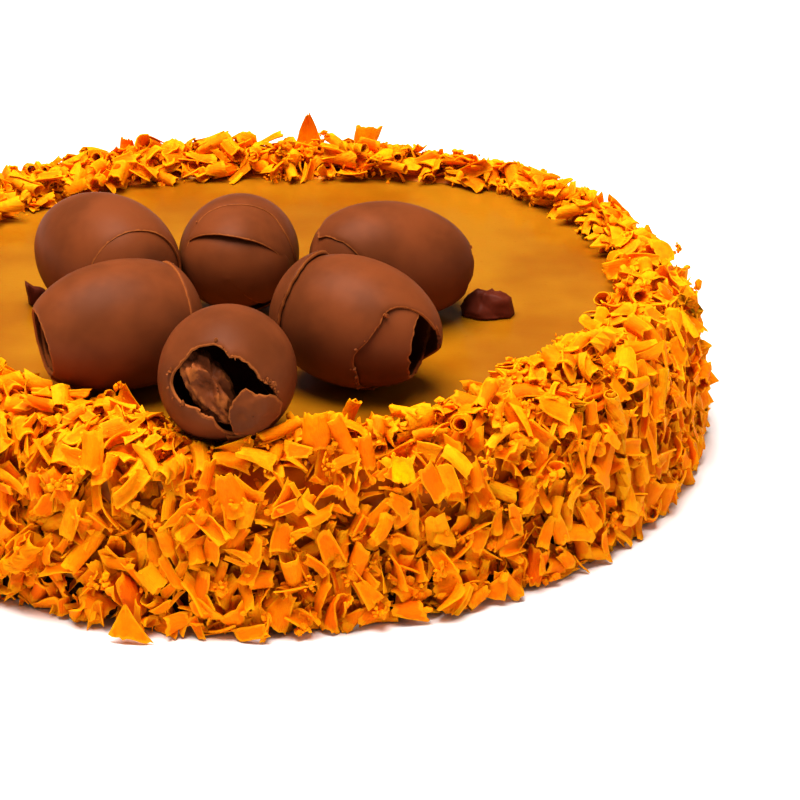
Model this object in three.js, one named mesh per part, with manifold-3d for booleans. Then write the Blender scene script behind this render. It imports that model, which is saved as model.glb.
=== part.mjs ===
// A round caramel cake, whole and uncut: a dark sponge foot, a mousse body whose side and rim are
// covered in caramel shavings, a caramel glaze sunk inside the rim, six large rolled chocolate
// curls heaped off centre on the glaze, one small chunk and one splinter of chocolate.
// Millimetres, +Z up. The origin is the middle of the flat underside.

import * as THREE from 'three';
import { mergeVertices } from 'three/addons/utils/BufferGeometryUtils.js';
import Module from 'manifold-3d';

const wasm = await Module();
wasm.setup();
const { Manifold, Mesh: SolidMesh } = wasm;

// ---- Driving dimensions ----

const CAKE_RADIUS = 121;          // mousse body, bare of shavings
const SPONGE_RADIUS = 122;
const SPONGE_HEIGHT = 9;
const GLAZE_RADIUS = 98;          // to the edge of the rim of shavings, before its bays
const GLAZE_TOP = 43;
const GLAZE_DEPTH = 2.6;
const RIM_HEIGHT = 4.6;           // bed of shavings round the glaze, above the glaze
const RIM_CREST_RADIUS = 111;
const FOOT_FLARE = 4.5;           // how far the heaped foot stands out from the body
const BODY_UNEVENNESS = 1.1;      // slow wander of the outline
const BED_ROUGHNESS = 0.9;        // bumps of the size of a shaving
const ROUND_SEGMENTS = 56;
const FIT_GAP = 0.3;              // between two pieces that lie on each other

const CURL_WALL = 1.5;            // thickness of a chocolate sheet
const CURL_PITCH = 2.4;           // from one turn of the roll down to the next
const CURL_STEPS_PER_TURN = 10;
const CURL_ROWS = 4;              // facets along a curl
const CURL_SEAM = -100;           // degrees round the roll where the sheet's outer edge lies

const SHAVING_THICKNESS = 1;
const SIDE_ROWS = 5;
const SIDE_COLUMNS = 24;
const RIM_RINGS = 3;
const RIM_COLUMNS = 18;
const FOOT_COUNT = 20;

const TURN = 2 * Math.PI;
const DEGREE = Math.PI / 180;

// Each curl lies on the glaze at x, y, with its axis turned by heading about +Z and raised by
// tilt. half is half its length. Stations along the axis are counted in halves from the middle, and
// endLow and endHigh are the radii at -1 and 1 over the middle radius. outer and inner are the
// stretches of the axis that the first and the last turn cover. The first turn reaches further by
// slant where the roll's angle is slantAngle. innerLow and innerHigh are the inner turn's end radii.
const CURLS = [
  {
    name: 'curl_back_left', x: -40.4, y: -19.8, heading: -57, tilt: 0, half: 21.6, radius: 17.9,
    turns: 1.8, endLow: 0.64, endHigh: 0.5, outer: [-1, 0.71], slant: 0.1, slantAngle: 20,
    inner: [-0.9, 0.96], innerLow: 0.6, innerHigh: 0.25,
  },
  {
    name: 'curl_front_left', x: -34.8, y: -67.6, heading: 20, tilt: 0, half: 21.1, radius: 17.7,
    turns: 1.8, endLow: 0.61, endHigh: 0.54, outer: [-1, 0.68], slant: 0.03, slantAngle: 160,
    inner: [-0.88, 0.97], innerLow: 0.6, innerHigh: 0.3,
  },
  {
    name: 'curl_centre', x: -4.5, y: -13.5, heading: -100, tilt: 0, half: 19, radius: 16.5,
    turns: 1.8, endLow: 0.55, endHigh: 0.4, outer: [-1, 0.3], slant: 0.5, slantAngle: 78,
    inner: [-0.9, 0.97], innerLow: 0.5, innerHigh: 0.28,
  },
  {
    name: 'curl_back_right', x: 37.2, y: -22.6, heading: 16, tilt: -13, half: 23, radius: 16.6,
    turns: 1.8, endLow: 0.3, endHigh: 0.42, outer: [-0.7, 1], slant: 0.05, slantAngle: 60,
    inner: [-0.97, 0.86], innerLow: 0.28, innerHigh: 0.42,
  },
  {
    name: 'curl_front_right', x: 25.5, y: -69.1, heading: -29, tilt: -8, half: 22.4, radius: 17.8,
    turns: 1.8, endLow: 0.36, endHigh: 0.42, outer: [-0.68, 0.72], slant: 0.28, slantAngle: -10,
    inner: [-0.97, 0.82], innerLow: 0.3, innerHigh: 0.42,
  },
  {
    name: 'curl_front', x: -7.6, y: -100.3, heading: -95, tilt: 4, half: 14.5, radius: 17.7,
    turns: 1.4, endLow: 0.55, endHigh: 0.72, outer: [-1, 1.06], slant: 0.1, slantAngle: 50,
    inner: [-0.9, 0.7], innerLow: 0.5, innerHigh: 0.7,
  },
];

// Where the rim of shavings is narrower or wider than elsewhere: the angle of the bay's middle
// round the cake, its half width, and how far the glaze reaches out, or is covered where negative.
const RIM_BAYS = [
  { angle: -75, width: 28, reach: 11 },
  { angle: -135, width: 26, reach: -5 },
  { angle: -45, width: 10, reach: -5 },
  { angle: 22, width: 42, reach: 9 },
  { angle: 45, width: 20, reach: 5 },
  { angle: 82, width: 16, reach: -5 },
];

const CHUNK = { x: 65, y: -20.5, length: 15.5, depth: 11.5, height: 7.2, heading: -8 };
const SPLINTER = { x: -62, y: -7, length: 6, depth: 3.5, height: 7, heading: 15 };

// ---- Finishes ----

function finish(colour, roughness) {
  return new THREE.MeshStandardMaterial({ color: colour, roughness, metalness: 0 });
}

const SPONGE = finish(0x2a140c, 0.95);
const SHAVINGS = finish(0xe8960c, 0.6);
const GLAZE = finish(0xc07818, 0.15);
const MILK_CHOCOLATE = finish(0x7a3b22, 0.45);
const DARK_CHOCOLATE = finish(0x4a1f14, 0.5);

// ---- Helpers ----

// A repeatable random number source.
function randomSource(seed) {
  let state = seed;
  return () => {
    state = (state + 0x6d2b79f5) | 0;
    let mixed = Math.imul(state ^ (state >>> 15), 1 | state);
    mixed = (mixed + Math.imul(mixed ^ (mixed >>> 7), 61 | mixed)) ^ mixed;
    return ((mixed ^ (mixed >>> 14)) >>> 0) / 4294967296;
  };
}

const random = randomSource(35);
const between = (low, high) => low + (high - low) * random();

// A slow wave round the cake, from -1 to 1, so that nothing is a perfect circle.
function wave(angle, phase) {
  return 0.5 * Math.sin(3 * angle + phase) + 0.3 * Math.sin(7 * angle + 2.1 * phase)
    + 0.2 * Math.sin(13 * angle + 4.7 * phase);
}

// The geometry with shared corners and without collapsed triangles.
function welded(geometry) {
  const bare = geometry.clone();
  bare.deleteAttribute('normal');
  bare.deleteAttribute('uv');
  const merged = mergeVertices(bare, 1e-4);
  const corners = merged.index.array;
  const kept = [];
  for (let k = 0; k < corners.length; k += 3) {
    const [a, b, c] = [corners[k], corners[k + 1], corners[k + 2]];
    if (a !== b && b !== c && c !== a) kept.push(a, b, c);
  }
  merged.setIndex(kept);
  return merged;
}

function toSolid(geometry) {
  const merged = welded(geometry);
  return new Manifold(new SolidMesh({
    numProp: 3,
    vertProperties: new Float32Array(merged.attributes.position.array),
    triVerts: new Uint32Array(merged.index.array),
  }));
}

function toGeometry(solid) {
  const mesh = solid.getMesh();
  const geometry = new THREE.BufferGeometry();
  geometry.setAttribute('position', new THREE.BufferAttribute(mesh.vertProperties, 3));
  geometry.setIndex(new THREE.BufferAttribute(mesh.triVerts, 1));
  return geometry;
}

// The largest piece of a solid, which leaves out loose scraps and fills sealed hollows.
function mainPiece(solid) {
  return solid.decompose().reduce((best, piece) => (piece.volume() > best.volume() ? piece : best));
}

function namedMesh(name, geometry, material) {
  geometry.computeVertexNormals();
  const mesh = new THREE.Mesh(geometry, material);
  mesh.name = name;
  return mesh;
}

// ---- Round layers ----

// How far the glaze reaches at an angle round the cake.
function glazeEdge(angle) {
  let edge = GLAZE_RADIUS;
  for (const bay of RIM_BAYS) {
    const turn = angle - bay.angle * DEGREE;
    const away = Math.atan2(Math.sin(turn), Math.cos(turn)) / (bay.width * DEGREE);
    edge += bay.reach * Math.exp(-away * away);
  }
  return edge;
}

// The real radius of a point of an even profile: it follows the bays up to the glaze's edge, and
// the cake's wandering side from there.
function wandered(radius, angle) {
  const edge = glazeEdge(angle);
  if (radius <= GLAZE_RADIUS) return (radius * edge) / GLAZE_RADIUS;
  const side = CAKE_RADIUS + BODY_UNEVENNESS * wave(angle, 0.7);
  if (radius > CAKE_RADIUS) return side + radius - CAKE_RADIUS;
  return edge + ((radius - GLAZE_RADIUS) * (side - edge)) / (CAKE_RADIUS - GLAZE_RADIUS);
}

// A turned shape with the cake's own uneven outline.
function turned(profile, roughness = 0) {
  const outline = profile.map(([radius, height]) => new THREE.Vector2(radius, height));
  const geometry = welded(new THREE.LatheGeometry(outline, ROUND_SEGMENTS));
  // A lathe turns about Y: stand it up along Z.
  geometry.rotateX(Math.PI / 2);
  const place = geometry.attributes.position;
  for (let k = 0; k < place.count; k += 1) {
    const radius = Math.hypot(place.getX(k), place.getY(k));
    const angle = Math.atan2(place.getY(k), place.getX(k));
    const rough = radius > GLAZE_RADIUS + 1 ? roughness : 0;
    const real = wandered(radius, angle) + rough * between(-1, 1);
    const onFoot = place.getZ(k) <= SPONGE_HEIGHT + FIT_GAP + 0.1;
    const height = place.getZ(k) + (onFoot ? 0 : rough * between(-1, 1));
    place.setXYZ(k, real * Math.cos(angle), real * Math.sin(angle), height);
  }
  return geometry;
}

function spongeFoot() {
  return turned([
    [0, 0],
    [SPONGE_RADIUS - 0.6, 0],
    [SPONGE_RADIUS, SPONGE_HEIGHT * 0.4],
    [SPONGE_RADIUS - 0.6, SPONGE_HEIGHT],
    [0, SPONGE_HEIGHT],
  ]);
}

function glazeDisc() {
  return turned([
    [0, GLAZE_TOP - GLAZE_DEPTH],
    [GLAZE_RADIUS, GLAZE_TOP - GLAZE_DEPTH],
    [GLAZE_RADIUS, GLAZE_TOP - 0.6],
    [GLAZE_RADIUS - 0.8, GLAZE_TOP],
    [0, GLAZE_TOP],
  ]);
}

// A disc from height low to height high, to clear away what stands in another piece's room.
function room(radius, low, high) {
  return toSolid(turned([[0, low], [radius, low], [radius, high], [0, high]]));
}

// The mousse with its bed of shavings: flared foot, upright side, rounded rim.
function cakeCore() {
  const foot = SPONGE_HEIGHT + FIT_GAP;
  const rim = GLAZE_TOP + RIM_HEIGHT;
  return turned([
    [0, foot],
    [CAKE_RADIUS + FOOT_FLARE, foot],
    [CAKE_RADIUS + FOOT_FLARE * 0.7, foot + 6],
    [CAKE_RADIUS + 0.6, foot + 17],
    [CAKE_RADIUS - 0.5, rim - 9],
    [CAKE_RADIUS - 2, rim - 2],
    [RIM_CREST_RADIUS, rim],
    [GLAZE_RADIUS + 4, rim - 1.2],
    [GLAZE_RADIUS + 0.8, GLAZE_TOP - 0.2],
    [0, GLAZE_TOP - 1.2],
  ], BED_ROUGHNESS);
}

// ---- Caramel shavings ----

// A strip bent to an arc, as a closed section in the plane across its length.
function arcSection(radius, sweep, steps) {
  const outline = [];
  for (let k = 0; k <= steps; k += 1) {
    const angle = sweep * (k / steps - 0.5);
    outline.push(new THREE.Vector2(radius * Math.cos(angle) - radius, radius * Math.sin(angle)));
  }
  const inner = radius - SHAVING_THICKNESS;
  for (let k = steps; k >= 0; k -= 1) {
    const angle = sweep * (k / steps - 0.5);
    outline.push(new THREE.Vector2(inner * Math.cos(angle) - radius, inner * Math.sin(angle)));
  }
  return new THREE.Shape(outline);
}

// A flat chip with uneven corners.
function chipSection(size) {
  const corners = 4;
  const outline = [];
  for (let k = 0; k < corners; k += 1) {
    const angle = (TURN * (k + between(-0.25, 0.25))) / corners;
    const reach = size * between(0.75, 1.15);
    outline.push(new THREE.Vector2(reach * Math.cos(angle), reach * Math.sin(angle)));
  }
  return new THREE.Shape(outline);
}

function extruded(section, depth) {
  const geometry = new THREE.ExtrudeGeometry(section, { depth, bevelEnabled: false, steps: 1 });
  geometry.translate(0, 0, -depth / 2);
  return geometry;
}

// One shaving, long side along its own Z, hollow side towards -X: a rolled quill, a bent flake
// or a flat chip.
function shaving() {
  const kind = random();
  if (kind < 0.16) return extruded(arcSection(between(2, 2.6), 240 * DEGREE, 3), between(8, 13));
  if (kind < 0.85) return extruded(arcSection(between(3.6, 5.4), 110 * DEGREE, 2), between(8, 13));
  const chip = extruded(chipSection(between(3.4, 4.8)), SHAVING_THICKNESS);
  chip.rotateY(Math.PI / 2);
  return chip;
}

// Sets a shaving down at a point: long side along direction, outer face towards outwards.
function placed(geometry, point, direction, outwards, spin) {
  const along = direction.clone().normalize();
  const side = new THREE.Vector3().crossVectors(along, outwards).normalize();
  const face = new THREE.Vector3().crossVectors(side, along);
  const matrix = new THREE.Matrix4().makeBasis(face, side, along).setPosition(point);
  const set = geometry.clone();
  set.rotateZ(spin);
  set.applyMatrix4(matrix);
  return set;
}

const onCake = (angle, radius, height) => new THREE.Vector3(
  radius * Math.cos(angle),
  radius * Math.sin(angle),
  height,
);

// Shavings pressed on the upright side, most of them slanting or upright.
function sideShavings() {
  const set = [];
  const low = SPONGE_HEIGHT + 6;
  const high = GLAZE_TOP + 2;
  for (let row = 0; row < SIDE_ROWS; row += 1) {
    for (let column = 0; column < SIDE_COLUMNS; column += 1) {
      const angle = (TURN * (column + 0.5 * (row % 2) + between(-0.3, 0.3))) / SIDE_COLUMNS;
      const height = low + ((high - low) * (row + 0.5 + between(-0.35, 0.35))) / SIDE_ROWS;
      const out = onCake(angle, 1, 0);
      const around = onCake(angle + TURN / 4, 1, 0);
      const slope = between(-75, 75) * DEGREE;
      const lean = between(-34, 34) * DEGREE;
      const direction = around.multiplyScalar(Math.sin(slope));
      direction.z = Math.cos(slope);
      direction.addScaledVector(out, Math.tan(lean));
      const point = onCake(angle, CAKE_RADIUS + between(1.8, 4), height);
      set.push(placed(shaving(), point, direction, out, between(-50, 50) * DEGREE));
    }
  }
  return set;
}

// Shavings heaped on the rim round the glaze, lying every way.
function rimShavings() {
  const set = [];
  const up = new THREE.Vector3(0, 0, 1);
  for (let ring = 0; ring < RIM_RINGS; ring += 1) {
    for (let column = 0; column < RIM_COLUMNS; column += 1) {
      const angle = (TURN * (column + ring / RIM_RINGS + between(-0.3, 0.3))) / RIM_COLUMNS;
      const radius = wandered(GLAZE_RADIUS + 3.5 + 7 * (ring + between(-0.2, 0.3)), angle);
      const heading = between(0, TURN);
      const lean = between(-28, 28) * DEGREE;
      const direction = new THREE.Vector3(Math.cos(heading), Math.sin(heading), Math.tan(lean));
      const lift = ring === 0 ? between(0.6, 1.6) : between(1.2, 2.6);
      const bed = ring === 0 ? GLAZE_TOP + 2.6 : GLAZE_TOP + RIM_HEIGHT - 0.8;
      const point = onCake(angle, radius, bed + lift);
      set.push(placed(shaving(), point, direction, up, between(-50, 50) * DEGREE));
    }
  }
  return set;
}

// Shavings that have slid down and lean against the foot.
function footShavings() {
  const set = [];
  for (let k = 0; k < FOOT_COUNT; k += 1) {
    const angle = (TURN * (k + between(-0.35, 0.35))) / FOOT_COUNT;
    const out = onCake(angle, 1, 0);
    const around = onCake(angle + TURN / 4, 1, 0);
    const direction = around.multiplyScalar(between(-0.8, 0.8));
    direction.z = 1;
    direction.addScaledVector(out, -between(0.15, 0.45));
    const point = onCake(angle, CAKE_RADIUS + FOOT_FLARE + between(1, 2.4), SPONGE_HEIGHT + 1.6);
    const piece = placed(shaving(), point, direction, out, between(-40, 40) * DEGREE);
    piece.computeBoundingBox();
    const sunk = Math.max(0, 0.4 - piece.boundingBox.min.z);
    piece.translate(0, 0, sunk);
    set.push(piece);
  }
  return set;
}

// ---- Chocolate curls ----

// The curl's own axes: along its roll, level across it, and up.
function curlAxes(curl) {
  const heading = curl.heading * DEGREE;
  const tilt = curl.tilt * DEGREE;
  const along = new THREE.Vector3(
    Math.cos(heading) * Math.cos(tilt),
    Math.sin(heading) * Math.cos(tilt),
    Math.sin(tilt),
  );
  const across = new THREE.Vector3(-Math.sin(heading), Math.cos(heading), 0);
  return { along, across, up: new THREE.Vector3().crossVectors(along, across) };
}

// Radius at a station along the axis of a barrel that narrows to end at station -1 or 1, over its
// middle radius.
function barrel(end, station) {
  return Math.sqrt(1 - (1 - end * end) * station * station);
}

// A point of the rolled sheet: turn runs from the outer free edge inwards, width from 0 to 1. Each
// turn keeps its depth most of the way round and sinks below the one before it underneath.
function sheetPoint(curl, axes, turn, width) {
  const angle = CURL_SEAM * DEGREE + TURN * turn;
  const layer = Math.floor(turn);
  const depth = layer + THREE.MathUtils.smoothstep(turn - layer, 0.8, 1);
  const share = Math.min(depth, 1);
  const { lerp } = THREE.MathUtils;
  const slant = (1 - share) * curl.slant * Math.cos(angle - curl.slantAngle * DEGREE);
  const low = lerp(curl.outer[0], curl.inner[0], share);
  const high = lerp(curl.outer[1], curl.inner[1], share) + slant;
  const station = lerp(low, high, width);
  const end = station < 0
    ? lerp(curl.endLow, curl.innerLow, share)
    : lerp(curl.endHigh, curl.innerHigh, share);
  const radius = (curl.radius - CURL_PITCH * depth) * barrel(end, station);
  return new THREE.Vector3()
    .addScaledVector(axes.along, station * curl.half)
    .addScaledVector(axes.across, radius * Math.cos(angle))
    .addScaledVector(axes.up, radius * Math.sin(angle));
}

// A closed shell: the rolled sheet, its inner face one wall further in, and its four edges.
function rolledSheet(curl) {
  const axes = curlAxes(curl);
  const columns = Math.round(curl.turns * CURL_STEPS_PER_TURN);
  const outside = [];
  const inside = [];
  const step = 1e-3;
  for (let i = 0; i <= columns; i += 1) {
    for (let j = 0; j <= CURL_ROWS; j += 1) {
      const turn = i / CURL_STEPS_PER_TURN;
      const width = j / CURL_ROWS;
      const point = sheetPoint(curl, axes, turn, width);
      const alongTurn = sheetPoint(curl, axes, turn + step, width).sub(point);
      const inset = width < 0.5 ? step : -step;
      const alongWidth = sheetPoint(curl, axes, turn, width + inset).sub(point);
      const normal = new THREE.Vector3().crossVectors(alongWidth, alongTurn).normalize();
      const middle = axes.along.clone().multiplyScalar(point.dot(axes.along));
      if (normal.dot(point.clone().sub(middle)) < 0) normal.negate();
      outside.push(point);
      inside.push(point.clone().addScaledVector(normal, -CURL_WALL));
    }
  }
  const corners = [...outside, ...inside];
  const rowLength = CURL_ROWS + 1;
  const inner = outside.length;
  const faces = [];
  const quad = (a, b, c, d) => faces.push(a, c, b, a, d, c);
  for (let i = 0; i < columns; i += 1) {
    for (let j = 0; j < CURL_ROWS; j += 1) {
      const a = i * rowLength + j;
      const b = a + rowLength;
      quad(a, a + 1, b + 1, b);
      quad(inner + a, inner + b, inner + b + 1, inner + a + 1);
    }
    const low = i * rowLength;
    const high = low + CURL_ROWS;
    quad(low, low + rowLength, inner + low + rowLength, inner + low);
    quad(high, inner + high, inner + high + rowLength, high + rowLength);
  }
  for (let j = 0; j < CURL_ROWS; j += 1) {
    const last = columns * rowLength + j;
    quad(j, inner + j, inner + j + 1, j + 1);
    quad(last, last + 1, inner + last + 1, inner + last);
  }
  const geometry = new THREE.BufferGeometry().setFromPoints(corners);
  geometry.setIndex(faces);
  return geometry;
}

// How high a curl's middle is when its lowest point lies on the glaze.
function curlHeight(curl) {
  const geometry = rolledSheet(curl);
  geometry.computeBoundingBox();
  return GLAZE_TOP + FIT_GAP - geometry.boundingBox.min.z;
}

function curlGeometry(curl) {
  return rolledSheet(curl).translate(curl.x, curl.y, curlHeight(curl));
}

// The curl's full barrel, a little larger, which keeps the shavings off it.
function curlClearance(curl) {
  const margin = 2 * FIT_GAP;
  const reach = Math.max(1, curl.outer[1] + curl.slant);
  const steps = 6;
  const profile = [new THREE.Vector2(0, -curl.half - margin)];
  for (let k = 0; k <= steps; k += 1) {
    const station = -1 + ((1 + reach) * k) / steps;
    const end = station < 0 ? curl.endLow : curl.endHigh;
    const radius = curl.radius * barrel(end, station) + margin;
    profile.push(new THREE.Vector2(radius, station * (curl.half + margin)));
  }
  profile.push(new THREE.Vector2(0, reach * curl.half + margin));
  const geometry = new THREE.LatheGeometry(profile, 2 * CURL_STEPS_PER_TURN);
  const { along, across, up } = curlAxes(curl);
  geometry.applyMatrix4(new THREE.Matrix4().makeBasis(up, along, across));
  geometry.translate(curl.x, curl.y, curlHeight(curl));
  return geometry;
}

// ---- Broken bits of chocolate ----

// A broken lump with a flat underside and its corners knocked out of true.
function chunkGeometry() {
  const box = toSolid(new THREE.BoxGeometry(40, 40, 20));
  const round = new THREE.SphereGeometry(1, 10, 7);
  const draw = randomSource(8);
  const raw = welded(round);
  const place = raw.attributes.position;
  for (let k = 0; k < place.count; k += 1) {
    const bump = 0.86 + 0.26 * draw();
    place.setXYZ(
      k,
      (place.getX(k) * bump * CHUNK.length) / 2,
      (place.getZ(k) * -bump * CHUNK.depth) / 2,
      place.getY(k) * bump * CHUNK.height,
    );
  }
  const solid = toSolid(raw).subtract(box.translate(0, 0, -10));
  const geometry = toGeometry(mainPiece(solid));
  geometry.rotateZ(CHUNK.heading * DEGREE);
  geometry.translate(CHUNK.x, CHUNK.y, GLAZE_TOP + FIT_GAP);
  return geometry;
}

// A thin upright splinter whose top runs up to a point at one side.
function splinterGeometry() {
  const half = SPLINTER.length / 2;
  const outline = new THREE.Shape([
    new THREE.Vector2(-half * 0.7, 0),
    new THREE.Vector2(half, 0),
    new THREE.Vector2(half * 0.8, SPLINTER.height * 0.55),
    new THREE.Vector2(-half * 0.2, SPLINTER.height * 0.7),
    new THREE.Vector2(-half, SPLINTER.height),
  ]);
  const geometry = extruded(outline, SPLINTER.depth);
  geometry.rotateX(Math.PI / 2);
  geometry.rotateZ(SPLINTER.heading * DEGREE);
  geometry.translate(SPLINTER.x, SPLINTER.y, GLAZE_TOP + FIT_GAP);
  return geometry;
}

// ---- The cake body with its shavings fused on ----

function cakeBody() {
  const pieces = [...sideShavings(), ...rimShavings(), ...footShavings()].map(toSolid);
  const heaped = Manifold.union([toSolid(cakeCore()), ...pieces]);
  // The glaze and the sponge take their own room, and shavings that overhang them are trimmed.
  const glazeReach = GLAZE_RADIUS + 2 * FIT_GAP;
  const glazeRoom = room(glazeReach, GLAZE_TOP - GLAZE_DEPTH - FIT_GAP, GLAZE_TOP + FIT_GAP);
  const spongeRoom = room(SPONGE_RADIUS + FIT_GAP, -1, SPONGE_HEIGHT + FIT_GAP);
  const curlRoom = CURLS.map((curl) => toSolid(curlClearance(curl)));
  const cut = Manifold.union([glazeRoom, spongeRoom, ...curlRoom]);
  return toGeometry(mainPiece(heaped.subtract(cut)).simplify(0.05));
}

const cake = new THREE.Group();
cake.add(namedMesh('sponge_foot', spongeFoot(), SPONGE));
cake.add(namedMesh('cake_body', cakeBody(), SHAVINGS));
cake.add(namedMesh('caramel_glaze', glazeDisc(), GLAZE));
for (const curl of CURLS) cake.add(namedMesh(curl.name, curlGeometry(curl), MILK_CHOCOLATE));
cake.add(namedMesh('chocolate_chunk', chunkGeometry(), DARK_CHOCOLATE));
cake.add(namedMesh('chocolate_splinter', splinterGeometry(), DARK_CHOCOLATE));

export default cake;
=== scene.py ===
"""A whole round caramel cake: its mousse, glaze, sponge foot, caramel shavings and chocolate curls.

Lengths inside the functions are millimetres. Blender's own lengths, such as the panel's, are metres.
"""

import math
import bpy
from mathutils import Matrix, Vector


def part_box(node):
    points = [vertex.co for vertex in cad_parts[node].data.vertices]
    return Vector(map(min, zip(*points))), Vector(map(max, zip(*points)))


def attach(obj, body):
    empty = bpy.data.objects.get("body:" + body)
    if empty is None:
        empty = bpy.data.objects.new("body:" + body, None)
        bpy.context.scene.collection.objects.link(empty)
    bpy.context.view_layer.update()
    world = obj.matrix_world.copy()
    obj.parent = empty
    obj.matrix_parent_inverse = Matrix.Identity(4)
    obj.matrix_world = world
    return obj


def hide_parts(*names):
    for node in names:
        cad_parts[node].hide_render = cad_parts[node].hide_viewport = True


bl_info = {
    "name": "Caramel Cake",
    "version": (1, 0, 0),
    "blender": (4, 5, 0),
    "location": "View3D > Sidebar > Cake",
    "description": "Builds a round caramel cake with a coat of shavings and a heap of chocolate curls",
    "category": "Object",
}

from itertools import product

import bmesh
import bpy
import numpy as np
from bpy.props import FloatProperty, FloatVectorProperty, IntProperty, PointerProperty
from mathutils import Vector

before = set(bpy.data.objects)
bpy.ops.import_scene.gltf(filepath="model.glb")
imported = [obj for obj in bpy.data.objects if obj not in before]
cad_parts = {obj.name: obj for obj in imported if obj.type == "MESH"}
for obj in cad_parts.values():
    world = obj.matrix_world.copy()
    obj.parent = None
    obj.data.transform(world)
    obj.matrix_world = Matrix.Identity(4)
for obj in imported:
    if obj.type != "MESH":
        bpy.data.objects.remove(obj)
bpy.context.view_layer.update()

MM = 0.001
TURN = 2 * math.pi
DEGREE = math.pi / 180

GLAZE_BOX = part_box("caramel_glaze")
SPONGE_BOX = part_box("sponge_foot")

# ---- The cake's own form, in millimetres, the same as the solids' ----

GLAZE_TOP = GLAZE_BOX[1].z / MM
SPONGE_TOP = SPONGE_BOX[1].z / MM
CAKE_RADIUS = 121.0
GLAZE_RADIUS = 98.0
UNEVENNESS = 1.1
FIT_GAP = 0.3

# Where the rim of shavings is wider or narrower: degrees round the cake, half width in degrees,
# and how far the glaze reaches out, or is covered where negative.
RIM_BAYS = [(-75, 28, 11), (-135, 26, -5), (-45, 10, -5), (22, 42, 9), (45, 20, 5), (82, 16, -5)]

# The bare mousse under the shavings, as nominal radius and height, from the foot to the glaze.
MOUSSE_PROFILE = [
    (121.0, 9.3), (120.6, 14), (120.2, 22), (119.8, 31), (118.6, 38), (115.6, 42), (111, 43.8),
    (105, 44.3), (100.5, 43.8), (98.6, 42.6), (96, 40.2),
]
FOOT_LIP = [(122.5, 0.6), (122.5, 8.5)]    # what the lowest shavings lie against, below the mousse

# Lumps of set glaze before the front curl: where they are, half width and height.
GLAZE_LUMPS = [(13, -99, 7, 2.2), (22, -96, 5, 1.4), (17, -106, 6, 1.8)]

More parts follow.
